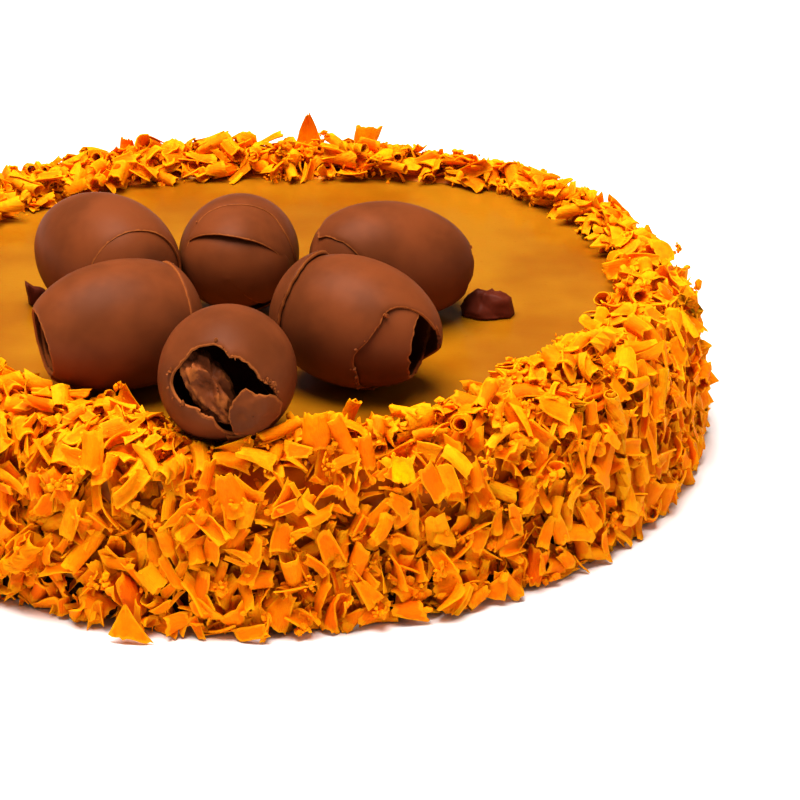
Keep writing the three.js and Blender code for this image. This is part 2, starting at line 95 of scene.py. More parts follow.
# The chocolate curls, as in the solids: place, heading and tilt in degrees, half length and radius.
# Stations along a curl are counted in halves from its middle. Each layer of the roll is a stretch
# from one edge to another, its depth, and its radius at stations -1 and 1 over the middle one. An
# edge is a station, how far it slants, and the angle round the roll where it reaches furthest. A
# bite is broken out of the first layer's high edge: its angle, half width and depth. wall is the
# sheet's thickness over the usual one, jag the roughness of its edges in stations, and crumbs are
# stuck to the first layer's high edge: the angle of their middle, half width and number. oval is how
# much deeper a layer lies on top than at its sides.
CURLS = {
    "curl_back_left": {
        "place": (-40.4, -19.8), "heading": -57, "tilt": 0, "half": 21.6, "radius": 17.9,
        "seam": -100, "seed": 3, "wall": 0.7, "jag": 0.008, "bites": [], "crumbs": [],
        "layers": [
            {"from": (-1, 0, 0), "to": (0.71, 0.1, 20), "depth": 0, "ends": (0.64, 0.5)},
            {"from": (-0.9, 0, 0), "to": (1, 0, 0), "depth": 0.6, "ends": (0.5, 0.002)},
        ],
    },
    "curl_front_left": {
        "place": (-34.8, -67.6), "heading": 20, "tilt": 0, "half": 21.1, "radius": 17.7,
        "seam": -100, "seed": 5, "wall": 1.0, "jag": 0.01, "bites": [], "crumbs": [(75, 14, 5)],
        "layers": [
            {"from": (-1.07, 0.07, 290), "to": (0.74, 0.03, 160), "depth": 0, "ends": (0.61, 0.54)},
            {"from": (-0.95, 0, 0), "to": (0.6, 0, 0), "depth": 1.8, "ends": (0.6, 0.5)},
            {"from": (0.665, 0.03, 160), "to": (1, 0, 0), "depth": -1.1, "ends": (0.6, 0.002)},
        ],
    },
    "curl_centre": {
        "place": (-4.5, -13.5), "heading": -100, "tilt": 0, "half": 19, "radius": 16.5,
        "seam": -100, "seed": 7, "wall": 0.6, "jag": 0.008, "crumbs": [(136, 6, 3)],
        "bites": [(160, 30, -0.22), (20, 25, -0.15)],
        "layers": [
            {"from": (-1, 0, 0), "to": (0.24, 0.2, 200), "depth": 0, "ends": (0.55, 0.4)},
            {"from": (-0.9, 0, 0), "to": (0.38, 0.45, 83), "depth": 0.4, "ends": (0.5, 0.56)},
            {"from": (0.28, 0.42, 83), "to": (1, 0, 0), "depth": 1.6, "ends": (0.5, 0.002),
             "oval": 1.1},
        ],
    },
    "curl_back_right": {
        "place": (37.2, -22.6), "heading": 16, "tilt": -13, "half": 23, "radius": 16.6,
        "seam": -100, "seed": 11, "wall": 0.7, "jag": 0.02, "crumbs": [(95, 12, 4)],
        "bites": [(120, 16, 0.05), (200, 20, 0.06)],
        "layers": [
            {"from": (-0.35, 0.65, 275), "to": (1, 0, 0), "depth": 0, "ends": (0.3, 0.42)},
            {"from": (-1, 0, 0), "to": (0.9, 0, 0), "depth": 2.0, "ends": (0.002, 0.2)},
        ],
    },
    "curl_front_right": {
        "place": (25.5, -69.1), "heading": -29, "tilt": -8, "half": 22.4, "radius": 17.8,
        "seam": -100, "seed": 13, "wall": 0.9, "jag": 0.022, "crumbs": [(175, 55, 18)],
        "bites": [(150, 46, 0.44), (250, 70, 0.62)],
        "layers": [
            {"from": (-0.8, 0, 0), "to": (1.04, 0.04, 0), "depth": 0, "ends": (0.36, 0.42)},
            {"from": (-0.8, 0, 0), "to": (0.85, 0.08, 185), "depth": 1.7, "ends": (0.4, 0.42)},
            {"from": (-1, 0, 0), "to": (-0.655, 0.03, 60), "depth": -1.1, "ends": (0.002, 0.42)},
        ],
    },
    "curl_front": {
        "place": (-7.6, -100.3), "heading": -95, "tilt": 4, "half": 14.5, "radius": 17.7,
        "seam": -85, "seed": 17, "wall": 0.9, "jag": 0.034,
        "bites": [(80, 7, -0.04), (107, 26, 0.11), (-6, 22, 0.17), (230, 46, -0.5)],
        "crumbs": [(8, 14, 34), (85, 20, 6), (170, 24, 8)],
        "layers": [
            {"from": (-1, 0, 0), "to": (1.0, 0.15, 42), "depth": 0, "ends": (0.55, 0.72)},
            {"from": (-1, 0, 0), "to": (-0.3, 0, 0), "depth": 1.5, "ends": (0.002, 0.9)},
        ],
    },
}

# The crumpled little roll inside the front curl's torn end, and the broken flap before it. Their
# middles are given across, up and along that curl, from its own middle. The flap's corners are
# given across and up too.
CRUMPLED_ROLL = {
    "middle": (-3.7, 1.0, 11.2), "way": (0.5, -0.84, 0.2), "half": 10.2, "radius": 5.4,
    "flat": 0.86, "fold": 1.5, "fold_size": (3.4, 13.0), "seed": 23,
}
TORN_FLAP = {
    "middle": (8.0, -4.4), "seed": 29, "relief": 1.6,
    "corners": [(2.5, -2.1), (6.4, 2.2), (8.6, 0.7), (12.2, 0.1), (14.6, -3.7), (12.4, -8.2),
                (7.4, -10.9), (3.9, -10.2), (1.9, -5.3)],
}
EGG_LENGTH = 20.8              # from the front curl's middle to where its form would close

ROLL_STEPS = 84                # grid steps once round a roll
ROLL_OVERLAP = 0.06            # how far a layer tucks under its own first edge, in turns
ROLL_ROWS = 20                 # grid steps along it
CLOSED_END = 0.1               # a roll that narrows to less than this share is closed there
POLE_GIRTH = 0.002             # the share that is left at a closed end

# The kinds of caramel shaving. Ranges are in millimetres and degrees: how tightly the strip is
# bent, its width round the bend, length and thickness. cells are its grid steps round and along.
# growth opens the bend, cone widens it along its length, jag breaks its edges, slant cuts its ends
# askew, taper narrows it to one end and ripple makes it wavy. lean is how far it stands off the coat
# and spin how far it is turned about its own length.
SHAVING_KINDS = {
    "half_rolls": {
        "count": 1590, "cells": (7, 3), "bend": (1.5, 2.9), "width": (4.2, 7.6), "length": (6, 10.5),
        "thickness": (0.55, 0.85), "growth": 0.24, "cone": 0.32, "jag": 0.45, "slant": 0.24,
        "taper": 0.25, "ripple": 0.06, "lean": 24, "spin": 60, "seed": 108,
    },
    "broad_flakes": {
        "count": 560, "cells": (6, 4), "bend": (2.8, 6), "width": (4.4, 7.4), "length": (5.5, 10),
        "thickness": (0.55, 0.9), "growth": 0.3, "cone": 0.4, "jag": 0.55, "slant": 0.26,
        "taper": 0.3, "ripple": 0.1, "lean": 26, "spin": 45, "seed": 101,
    },
    "narrow_flakes": {
        "count": 1250, "cells": (4, 4), "bend": (1.7, 4), "width": (2.2, 4.2), "length": (5, 10),
        "thickness": (0.5, 0.8), "growth": 0.2, "cone": 0.3, "jag": 0.42, "slant": 0.3,
        "taper": 0.35, "ripple": 0.06, "lean": 28, "spin": 60, "seed": 102,
    },
    "quills": {
        "count": 400, "cells": (12, 3), "bend": (1.2, 2.2), "width": (11, 20), "length": (6.5, 11.5),
        "thickness": (0.42, 0.6), "growth": 0.16, "cone": 0.16, "jag": 0.38, "slant": 0.12,
        "taper": 0.05, "ripple": 0.03, "lean": 28, "spin": 180, "seed": 103,
    },
    "chips": {
        "count": 200, "cells": (3, 3), "bend": (9, 30), "width": (3.5, 6), "length": (4, 7.5),
        "thickness": (0.8, 1.3), "growth": 0.1, "cone": 0.1, "jag": 0.4, "slant": 0.45,
        "taper": 0.75, "ripple": 0.0, "lean": 30, "spin": 50, "seed": 104,
    },
    "rippled_rolls": {
        "count": 125, "cells": (22, 5), "bend": (1.9, 3.0), "width": (11, 17), "length": (6.5, 12),
        "thickness": (0.8, 1.1), "growth": 0.22, "cone": 0.2, "jag": 0.6, "slant": 0.2,
        "taper": 0.1, "ripple": 0.22, "lean": 24, "spin": 180, "seed": 105,
    },
    "splinters": {
        "count": 1400, "cells": (2, 3), "bend": (3, 9), "width": (0.8, 2.0), "length": (2.5, 7.5),
        "thickness": (0.4, 0.8), "growth": 0.1, "cone": 0.2, "jag": 0.2, "slant": 0.5,
        "taper": 0.5, "ripple": 0.0, "lean": 38, "spin": 60, "seed": 106,
    },
}

# Where the coat of shavings is thin: degrees round the cake, half width in degrees, and the share
# of shavings that is missing there. Where the foot is nearly bare, and the dark sponge shows.
THIN_COAT = [(-113, 15, 0.3), (165, 12, 0.2), (40, 10, 0.12)]
BARE_FOOT = [(-128, 22, 0.93), (150, 20, 0.85), (78, 16, 0.7)]

# Shavings that stand out, each in its own place: its middle, the way of its length, the way it
# bulges, its bend, width round the bend and length, how much it narrows to its top, and its tint.
SINGLE_SHAVINGS = {
    "standing in the bay": ((23.1, -98.7, 47.5), (0.33, 0, 0.94), (0.3, -1, 0), 2.2, 15, 9.4, 0, 0.7),
    "lying before the curl": ((5, -114.8, 49.5), (0.9, 0.36, 0.2), (0, -0.4, 0.9), 1.9, 14, 11.5, 0, 0.5),
    "broad, upright": ((14, -116.4, 47.5), (0.08, 0.15, 1), (0, -1, 0.2), 3.3, 9.5, 9, 0.1, 0.5),
    "long, slanting": ((20.4, -116.4, 47.0), (-0.36, -0.05, 0.93), (0, -1, 0.3), 2.3, 7.5, 11, 0, 0.5),
    "short, beside it": ((26.8, -117.6, 46.0), (-0.15, 0, 1), (0.1, -1, 0.2), 2.1, 7, 9, 0, 0.6),
    "tallest at the back": ((18, 117, 49.5), (-0.12, 0, 1), (0.2, -1, 0), 7, 6.5, 13, 0.7, 0.8),
    "flat-topped at the back": ((36, 114, 48), (0.1, 0, 1), (-0.2, -1, 0), 5, 9, 8, -0.1, 0.8),
    "upright, far left": ((-40, 112, 47.5), (0.2, 0, 1), (0.2, -1, 0), 3, 6, 7, 0.3, 0.8),
    "leaning at the foot": ((-34, -128.6, 4.6), (0.1, 0.3, 0.9), (-0.2, -1, 0.3), 16, 6, 8.5, 0.85, 0.6),
    "folded over": ((-7.3, -123.5, 38.5), (-0.3, 0, 0.95), (0, -1, 0.2), 3.4, 9, 12, 0.5, 0.5),
    "bright": ((35.6, -123, 43.6), (0.1, 0.1, 1), (0.1, -0.95, 0.3), 4, 6, 6.4, 0, 2.0),
}

HEAP_CELL = 1.2                # grid on which the heap's height is kept
HEAP_TRIES = 8                 # places tried for each shaving
HEAP_MOST_TRIES = 24           # places tried before one that finds none is left out
HEAP_TOUCH = 86                # percent of a shaving's points that stay clear of what lies below
RIM_HEAP = 0.3                 # how much higher the shavings are heaped on the rim
INNER_ROWS = 11                # rows of that grid on the rim's slope down to the glaze
INNER_SHARE = 0.15             # share of the shavings drawn for those rows that are laid
FLOOR_GAP = 0.2                # how far the lowest shavings stay off the floor
LUMP_POINTS = 12               # points of a crumb


# ---- What a user would change ----


def length(name, description, default, most, least=0.0):
    """A length that a user may change, in metres."""
    return FloatProperty(name=name, description=description, default=default, min=least, max=most,
                         unit="LENGTH")


def colour(name, description, default):
    """A colour that a user may change."""
    return FloatVectorProperty(name=name, description=description, default=default, min=0.0,
                               max=1.0, subtype="COLOR")


def power(name, description, default):
    """A light's power, in watts."""
    return FloatProperty(name=name, description=description, default=default, min=0.0,
                         subtype="POWER")


class CakeSizes(bpy.types.PropertyGroup):
    """Main sizes of the round layers."""

    mousse_relief: length("Mousse relief", "Height of the bumps on the bare mousse", 0.0006, 0.003)
    glaze_relief: length("Glaze relief", "Height of the slow waves in the glaze", 0.00025, 0.002)
    sponge_relief: length("Sponge relief", "Depth of the crumb in the sponge foot", 0.0011, 0.004)
    curl_wall: length("Chocolate thickness", "Thickness of the rolled chocolate sheet", 0.0014,
                      0.003, 0.0005)


class ShavingHeap(bpy.types.PropertyGroup):
    """The coat of caramel shavings."""

    amount: FloatProperty(
        name="Amount", description="Number of shavings over the number on a full coat",
        default=1.0, min=0.05, max=1.0, subtype="FACTOR")
    sink: length("Sink", "How far a shaving is pressed into what it lies on", 0.0004, 0.003)
    crumbs: IntProperty(
        name="Crumbs", description="Number of loose caramel crumbs", default=4000, min=0, max=8000)
    clumps: IntProperty(
        name="Clumps", description="Number of rough clumps of crumbs", default=300, min=0, max=1000)
    seed: IntProperty(
        name="Seed", description="Draws another heap of the same kind", default=35, min=0)


class CakeColours(bpy.types.PropertyGroup):
    """Colours of the finishes."""

    caramel: colour("Caramel", "Caramel shavings in plain light", (0.94, 0.265, 0.0008))
    caramel_deep: colour("Deep caramel", "The darkest of the caramel shavings", (0.88, 0.15, 0.0005))
    caramel_pale: colour("Pale caramel", "Dry edges and the palest shavings", (0.96, 0.39, 0.004))
    caramel_bright: colour("Bright caramel", "The one bright yellow shaving", (0.95, 0.56, 0.0))
    mousse: colour("Mousse", "Bare mousse between the shavings", (0.82, 0.42, 0.10))
    glaze: colour("Glaze", "Caramel glaze", (0.385, 0.166, 0.006))
    glaze_deep: colour("Deep glaze", "Glaze where it is thick", (0.31, 0.108, 0.002))
    chocolate: colour("Chocolate", "Milk chocolate curls", (0.215, 0.061, 0.018))
    # Painted highlight: the pale colour laid along the chocolate's edges and on the crumpled roll's
    # crests, where they catch the light.
    chocolate_edge_highlight: colour("Chocolate edge", "Broken edges of the chocolate", (0.33, 0.105, 0.025))
    dark_chocolate: colour("Dark chocolate", "The chunk and the splinter", (0.135, 0.026, 0.011))
    sponge: colour("Sponge", "The dark sponge foot", (0.040, 0.010, 0.003))


class StageSettings(bpy.types.PropertyGroup):
    """Camera, light and floor."""

    elevation: FloatProperty(
        name="Camera elevation", description="Angle of the camera above the table, seen from the cake",
        default=24.41 * DEGREE, subtype="ANGLE")
    distance: FloatProperty(
        name="Camera distance", description="From the cake's foot to the camera",
        default=0.8562, unit="LENGTH")
    yaw: FloatProperty(
        name="Camera yaw", description="How far the camera looks past the cake's middle, to the right",
        default=3.04 * DEGREE, subtype="ANGLE")
    pitch: FloatProperty(
        name="Camera pitch", description="How far the camera looks above the cake's foot",
        default=0.51 * DEGREE, subtype="ANGLE")
    lens: FloatProperty(
        name="Lens", description="Focal length on a 36 mm sensor, in millimetres",
        default=131.49, min=1.0)
    top_light: power("Top light", "Power of the large soft light above the cake", 41.0)
    left_light: power("Left light", "Power of the soft light at the front left", 1.0)
    right_light: power("Right light", "Power of the soft light at the front right", 3.0)
    sky: FloatProperty(
        name="Surroundings", description="Brightness of the plain surroundings",
        default=0.18, min=0.0)
    contrast: FloatProperty(
        name="Display gamma", description="Below 1 the shades are darker, as in a crisp photograph",
        default=0.8, min=0.5, max=1.5)
    floor: colour("Floor", "The plain pale floor", (0.93, 0.93, 0.93))


# ---- Numbers and noise ----


def smoothstep(value, low, high):
    share = np.clip((value - low) / (high - low), 0, 1)
    return share * share * (3 - 2 * share)


def unit(vectors):
    return vectors / np.linalg.norm(vectors, axis=-1, keepdims=True)


def lattice_noise(points, seed):
    """Smooth noise between -1 and 1 at each point, one cell to a unit of length."""
    cell = np.floor(points).astype(np.int64)
    part = points - cell
    fade = part * part * (3 - 2 * part)
    total = np.zeros(points.shape[:-1])
    for corner in product((0, 1), repeat=3):
        at = cell + np.array(corner)
        mixed = (at[..., 0] * 73856093) ^ (at[..., 1] * 19349663) ^ (at[..., 2] * 83492791)
        mixed = (mixed ^ (seed * 40503)) & 0xFFFFFFFF
        mixed = ((mixed ^ (mixed >> 13)) * 1274126177) & 0xFFFFFFFF
        mixed = mixed ^ (mixed >> 16)
        value = (mixed & 0xFFFF) / 32767.5 - 1
        share = np.where(np.array(corner) == 1, fade, 1 - fade).prod(-1)
        total += share * value
    return total


def fractal_noise(points, size, seed, octaves=3):
    """Noise with details from size down, each octave half as large and half as strong."""
    total = np.zeros(points.shape[:-1])
    for octave in range(octaves):
        finer = 2 ** octave
        total += lattice_noise(points * finer / size, seed + octave) / finer
    return total / (2 - 2 / 2 ** octaves)


# ---- The cake's outline ----


def wave(angle, phase):
    """A slow wave round the cake, between -1 and 1."""
    return (0.5 * np.sin(3 * angle + phase) + 0.3 * np.sin(7 * angle + 2.1 * phase)
            + 0.2 * np.sin(13 * angle + 4.7 * phase))


def half_widths_away(angle, middle, width):
    """How far an angle is from a middle, over a half width. Those two are in degrees."""
    away = angle - middle * DEGREE
    return np.arctan2(np.sin(away), np.cos(away)) / (width * DEGREE)


def glaze_edge(angle):
    """The glaze's real radius at an angle round the cake, with the rim's bays."""
    edge = np.full(np.shape(angle), GLAZE_RADIUS)
    for middle, width, reach in RIM_BAYS:
        away = half_widths_away(angle, middle, width)
        edge = edge + reach * np.exp(-away * away)
    return edge


def side_edge(angle):
    """The side's real radius at an angle round the cake."""
    return CAKE_RADIUS + UNEVENNESS * wave(angle, 0.7)


def wandered(radius, angle):
    """The real radius of a nominal one, at an angle round the cake."""
    edge = glaze_edge(angle)
    side = side_edge(angle)
    between = edge + (radius - GLAZE_RADIUS) * (side - edge) / (CAKE_RADIUS - GLAZE_RADIUS)
    outside = np.where(radius > CAKE_RADIUS, side + radius - CAKE_RADIUS, between)
    return np.where(radius <= GLAZE_RADIUS, radius * edge / GLAZE_RADIUS, outside)


def nominal(radius, angle):
    """The nominal radius of a real one: the inverse of wandered."""
    edge = glaze_edge(angle)
    side = side_edge(angle)
    between = GLAZE_RADIUS + (radius - edge) * (CAKE_RADIUS - GLAZE_RADIUS) / (side - edge)
    outside = np.where(radius > side, CAKE_RADIUS + radius - side, between)
    return np.where(radius <= edge, radius * GLAZE_RADIUS / edge, outside)


def round_the_cake(radius, angle, height):
    return np.stack([radius * np.cos(angle), radius * np.sin(angle), height], -1)


def resampled(profile, step):
    """A profile of evenly spaced points."""
    profile = np.array(profile, float)
    reach = np.concatenate([[0], np.cumsum(np.linalg.norm(np.diff(profile, axis=0), axis=1))])
    places = np.linspace(0, reach[-1], max(2, int(round(reach[-1] / step))) + 1)
    return np.stack([np.interp(places, reach, profile[:, k]) for k in range(2)], -1)


# ---- Meshes ----


def shell_faces(across, along):
    """Quads of a closed shell: an outer and an inner grid, and a strip along each of their edges."""
    row = along + 1
    inner = (across + 1) * row
    quads = []
    for i in range(across):
        for j in range(along):
            a = i * row + j
            quads.append((a, a + row, a + row + 1, a + 1))
            quads.append((inner + a, inner + a + 1, inner + a + row + 1, inner + a + row))
        low = i * row
        high = low + along
        quads.append((low, inner + low, inner + low + row, low + row))
        quads.append((high, high + row, inner + high + row, inner + high))
    for j in range(along):
        last = across * row + j
        quads.append((j, j + 1, inner + j + 1, inner + j))
        quads.append((last, inner + last, inner + last + 1, last + 1))
    return np.array(quads)


def ring_faces(columns, rows):
    """Quads of a grid that closes on itself round the cake, rows counted upwards or inwards."""
    quads = []
    for i in range(columns):
        near = i * rows
        far = ((i + 1) % columns) * rows
        for j in range(rows - 1):
            quads.append((near + j, far + j, far + j + 1, near + j + 1))
    return np.array(quads)


def closed_faces(columns, rows):
    """Faces of a grid that closes on itself, with a point below and a point above to close it. The
    two points come after the grid's own, the low one first."""
    first = np.arange(columns) * rows
    last = first + rows - 1
    count = columns * rows
    bottom = np.stack([np.full(columns, count), np.roll(first, -1), first], -1)
    top = np.stack([np.full(columns, count + 1), last, np.roll(last, -1)], -1)
    return [ring_faces(columns, rows), bottom, top]


def many_faces(faces, count, points_each):
    """The faces of many like pieces, whose points follow one another."""
    starts = np.arange(count) * points_each
    return (faces[None] + starts[:, None, None]).reshape(-1, faces.shape[1])


def mesh_piece(name, points, face_sets, material, values=None, map_places=None, crease=50):
    """A piece from points in millimetres. values are one number a point each, map_places one pair."""
    mesh = bpy.data.meshes.new(name)
    mesh.vertices.add(len(points))
    mesh.vertices.foreach_set("co", (points * MM).astype(np.float32).ravel())
    corners = np.concatenate([faces.ravel() for faces in face_sets]).astype(np.int32)
    sides = np.concatenate([np.full(len(faces), faces.shape[1]) for faces in face_sets])
    starts = np.concatenate([[0], np.cumsum(sides)[:-1]]).astype(np.int32)
    mesh.loops.add(len(corners))
    mesh.loops.foreach_set("vertex_index", corners)
    mesh.polygons.add(len(sides))
    mesh.polygons.foreach_set("loop_start", starts)
    mesh.update(calc_edges=True)
    for label, numbers in (values or {}).items():
        field = mesh.attributes.new(label, "FLOAT", "POINT")
        field.data.foreach_set("value", np.asarray(numbers, np.float32))
    if map_places is not None:
        layer = mesh.uv_layers.new(name="grain")
        layer.uv.foreach_set("vector", map_places[corners].astype(np.float32).ravel())
    mesh.shade_smooth()
    if crease:
        mesh.set_sharp_from_angle(angle=crease * DEGREE)
    piece = bpy.data.objects.new(name, mesh)
    bpy.context.scene.collection.objects.link(piece)
    mesh.materials.append(material)
    return piece


def dress(piece, slot, *nodes):
    """Rides the piece on the cake, and lets it stand for its solids, which it hides. slot is not used."""
    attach(piece, "root")
    if nodes:
        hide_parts(*nodes)
    return piece


# ---- Shader groups ----


def shader_group(name, inputs, outputs):
    """An empty group with named sockets, and its input and output nodes."""
    group = bpy.data.node_groups.new(name, "ShaderNodeTree")
    for label, kind, default in inputs:
        socket = group.interface.new_socket(label, in_out="INPUT", socket_type=kind)
        socket.default_value = default
    for label, kind in outputs:
        group.interface.new_socket(label, in_out="OUTPUT", socket_type=kind)
    return group, group.nodes.new("NodeGroupInput"), group.nodes.new("NodeGroupOutput")


def feed(tree, socket, value):
    """Links a socket to another one, or sets it to a plain value."""
    if isinstance(value, bpy.types.NodeSocket):
        tree.links.new(value, socket)
    else:
        socket.default_value = value


def add_node(tree, kind, settings=None, **sockets):
    """A node with its settings, and its input sockets set or linked by name."""
    node = tree.nodes.new(kind)
    for label, value in (settings or {}).items():
        setattr(node, label, value)
    for label, value in sockets.items():
        feed(tree, node.inputs[label.replace("_", " ")], value)
    return node


def ramp(tree, factor, low, high):
    """A factor from low to high becomes 0 to 1, eased at both ends."""
    node = add_node(tree, "ShaderNodeMapRange", {"interpolation_type": "SMOOTHSTEP"},
                    Value=factor, From_Min=low, From_Max=high)
    return node.outputs["Result"]


def mix_colours(tree, factor, first, second):
    """Goes from the first colour to the second as factor goes from 0 to 1."""
    node = add_node(tree, "ShaderNodeMix", {"data_type": "RGBA"}, Factor=factor)
    sockets = [s for s in node.inputs if s.type == "RGBA"]
    for socket, value in zip(sockets, (first, second)):
        linked = isinstance(value, bpy.types.NodeSocket)
        feed(tree, socket, value if linked else (*value, 1))
    return next(s for s in node.outputs if s.type == "RGBA")


def maths(tree, operation, *values):
    node = tree.nodes.new("ShaderNodeMath")
    node.operation = operation
    for socket, value in zip(node.inputs, values):
        feed(tree, socket, value)
    return node.outputs["Value"]


def noise_texture(tree, place, scale, detail, roughness=0.5):
    node = add_node(tree, "ShaderNodeTexNoise", Vector=place, Scale=scale, Detail=detail,
                    Roughness=roughness)
    return node.outputs["Fac"]


def own_place(tree):
    """Places on the piece itself, in metres."""
    return add_node(tree, "ShaderNodeTexCoord").outputs["Object"]


def patches_group():
    """Soft patches over the surface, as a mask."""
    group, entry, leave = shader_group(
        "Soft Patches",
        [("Size", "NodeSocketFloat", 100.0), ("Low", "NodeSocketFloat", 0.4),
         ("High", "NodeSocketFloat", 0.6)],
        [("Mask", "NodeSocketFloat")])
    noise = noise_texture(group, own_place(group), entry.outputs["Size"], 3.0, 0.55)
    mask = ramp(group, noise, entry.outputs["Low"], entry.outputs["High"])
    group.links.new(mask, leave.inputs["Mask"])
    return group


def grain_group():
    """Fine grain, as a height and as a mask of its high spots."""
    group, entry, leave = shader_group(
        "Fine Grain",
        [("Fine", "NodeSocketFloat", 2500.0), ("Coarse", "NodeSocketFloat", 500.0)],
        [("Height", "NodeSocketFloat"), ("Specks", "NodeSocketFloat")])
    place = own_place(group)
    fine = noise_texture(group, place, entry.outputs["Fine"], 2.0, 0.6)
    coarse = noise_texture(group, place, entry.outputs["Coarse"], 3.0, 0.6)
    group.links.new(maths(group, "MULTIPLY_ADD", fine, 0.4, coarse), leave.inputs["Height"])
    group.links.new(ramp(group, fine, 0.62, 0.74), leave.inputs["Specks"])
    return group


def lines_group():
    """Fine lines that a blade leaves along the piece's own length, from its grain map."""
    group, entry, leave = shader_group(
        "Blade Lines",
        [("Across", "NodeSocketFloat", 3.0), ("Along", "NodeSocketFloat", 0.12)],
        [("Height", "NodeSocketFloat")])
    place = add_node(group, "ShaderNodeUVMap", {"uv_map": "grain"})
    split = add_node(group, "ShaderNodeSeparateXYZ", Vector=place.outputs["UV"])
    across = maths(group, "MULTIPLY", split.outputs["X"], entry.outputs["Across"])
    along = maths(group, "MULTIPLY", split.outputs["Y"], entry.outputs["Along"])
    stretched = add_node(group, "ShaderNodeCombineXYZ", X=across, Y=along)
    noise = noise_texture(group, stretched.outputs["Vector"], 1.0, 3.0, 0.6)
    group.links.new(noise, leave.inputs["Height"])
    return group


def edge_and_highlight_group():
    """Broken edges, from the piece's own edge value, as an uneven mask. On the chocolate this mask places
    a painted highlight.
    """
    group, entry, leave = shader_group(
        "Broken Edge", [("Reach", "NodeSocketFloat", 0.5)], [("Mask", "NodeSocketFloat")])
    edge = add_node(group, "ShaderNodeAttribute", {"attribute_name": "edge"})
    noise = noise_texture(group, own_place(group), 900.0, 2.0)
    uneven = maths(group, "ADD", edge.outputs["Fac"], noise)
    start = maths(group, "SUBTRACT", 1.5, entry.outputs["Reach"])
    above = maths(group, "SUBTRACT", uneven, start)
    group.links.new(ramp(group, above, 0.0, 0.35), leave.inputs["Mask"])
    return group


EFFECT_MAKERS = {"patches": patches_group, "grain": grain_group, "lines": lines_group,
                 "edge": edge_and_highlight_group}
EFFECTS = {}


def effect(tree, name, **sockets):
    """Places a shared effect in a material with that material's own values."""
    if name not in EFFECTS:
        EFFECTS[name] = EFFECT_MAKERS[name]()
    node = tree.nodes.new("ShaderNodeGroup")
    node.node_tree = EFFECTS[name]
    for label, value in sockets.items():
        node.inputs[label].default_value = value
    return node


def new_material(name, **settings):
    """A material with its Principled shader's own sockets set."""
    material = bpy.data.materials.new(name)
    material.use_nodes = True
    shader = next(n for n in material.node_tree.nodes if n.type == "BSDF_PRINCIPLED")
    for label, value in settings.items():
        shader.inputs[label.replace("_", " ")].default_value = value
    return material, material.node_tree, shader


def bump(tree, shader, height, strength, distance, first=None):
    """Adds relief that is finer than the mesh. distance is in millimetres."""
    node = add_node(tree, "ShaderNodeBump", Strength=strength, Distance=distance * MM, Height=height)
    if first is not None:
        tree.links.new(first, node.inputs["Normal"])
    tree.links.new(node.outputs["Normal"], shader.inputs["Normal"])
    return node.outputs["Normal"]


def washed(tree, mask, strength, tone, wash):
    """A tone with some of another colour over it where the mask is high."""
    return mix_colours(tree, maths(tree, "MULTIPLY", mask, strength), tone, wash)


def set_roughness(tree, shader, value, low, high):
    """Roughness from low to high as value goes from 0 to 1."""
    node = add_node(tree, "ShaderNodeMapRange", Value=value, To_Min=low, To_Max=high)
    tree.links.new(node.outputs["Result"], shader.inputs["Roughness"])


def scaled(factor, colours):
    return tuple(factor * part for part in colours)


# ---- Finishes ----


def caramel_material(colours):
    """Caramel shavings: each piece its own tone, blade lines, pale dry edges, light in the thin parts."""
    material, tree, shader = new_material(
        "caramel_shavings", Roughness=0.5, Subsurface_Weight=0.25, Subsurface_Scale=0.0025,
        Subsurface_Radius=(1.0, 0.4, 0.05), Specular_IOR_Level=0.05)
    tint = add_node(tree, "ShaderNodeAttribute", {"attribute_name": "tint"})
    tone = colours.caramel_deep
    for low, high, lighter in ((-0.12, 0.3, colours.caramel), (0.62, 1.0, colours.caramel_pale),
                               (1.4, 1.8, colours.caramel_bright)):
        tone = mix_colours(tree, ramp(tree, tint.outputs["Fac"], low, high), tone, lighter)
    patches = effect(tree, "patches", Size=420.0, Low=0.45, High=0.68)
    tone = washed(tree, patches.outputs["Mask"], 0.4, tone, colours.caramel_deep)
    edge = effect(tree, "edge", Reach=0.6)
    tone = washed(tree, edge.outputs["Mask"], 0.75, tone, colours.caramel_pale)
    tree.links.new(tone, shader.inputs["Base Color"])
    lines = effect(tree, "lines", Across=3.2, Along=0.22)
    grain = effect(tree, "grain", Fine=3200.0, Coarse=900.0)
    first = bump(tree, shader, lines.outputs["Height"], 0.7, 0.35)
    bump(tree, shader, grain.outputs["Height"], 0.6, 0.3, first)
    set_roughness(tree, shader, grain.outputs["Height"], 0.42, 0.62)
    return material


def chocolate_material(name, base, highlight_colour):
    """Rolled chocolate: satin, faintly mottled, with a painted highlight in a paler colour along its
    edges.
    """
    material, tree, shader = new_material(
        name, Roughness=0.45, Specular_IOR_Level=0.08, Subsurface_Weight=0.05,
        Subsurface_Scale=0.0015, Subsurface_Radius=(1.0, 0.35, 0.15))
    patches = effect(tree, "patches", Size=60.0, Low=0.35, High=0.7)
    tone = mix_colours(tree, patches.outputs["Mask"], base, scaled(0.72, base))
    edge = effect(tree, "edge", Reach=0.5)
    # Painted highlight: the paler colour goes where the edge value is high, along edges and on crests.
    tone = mix_colours(tree, edge.outputs["Mask"], tone, highlight_colour)
    tree.links.new(tone, shader.inputs["Base Color"])
    grain = effect(tree, "grain", Fine=1800.0, Coarse=260.0)
    bump(tree, shader, grain.outputs["Height"], 0.12, 0.3)
    set_roughness(tree, shader, edge.outputs["Mask"], 0.46, 0.62)
    return material


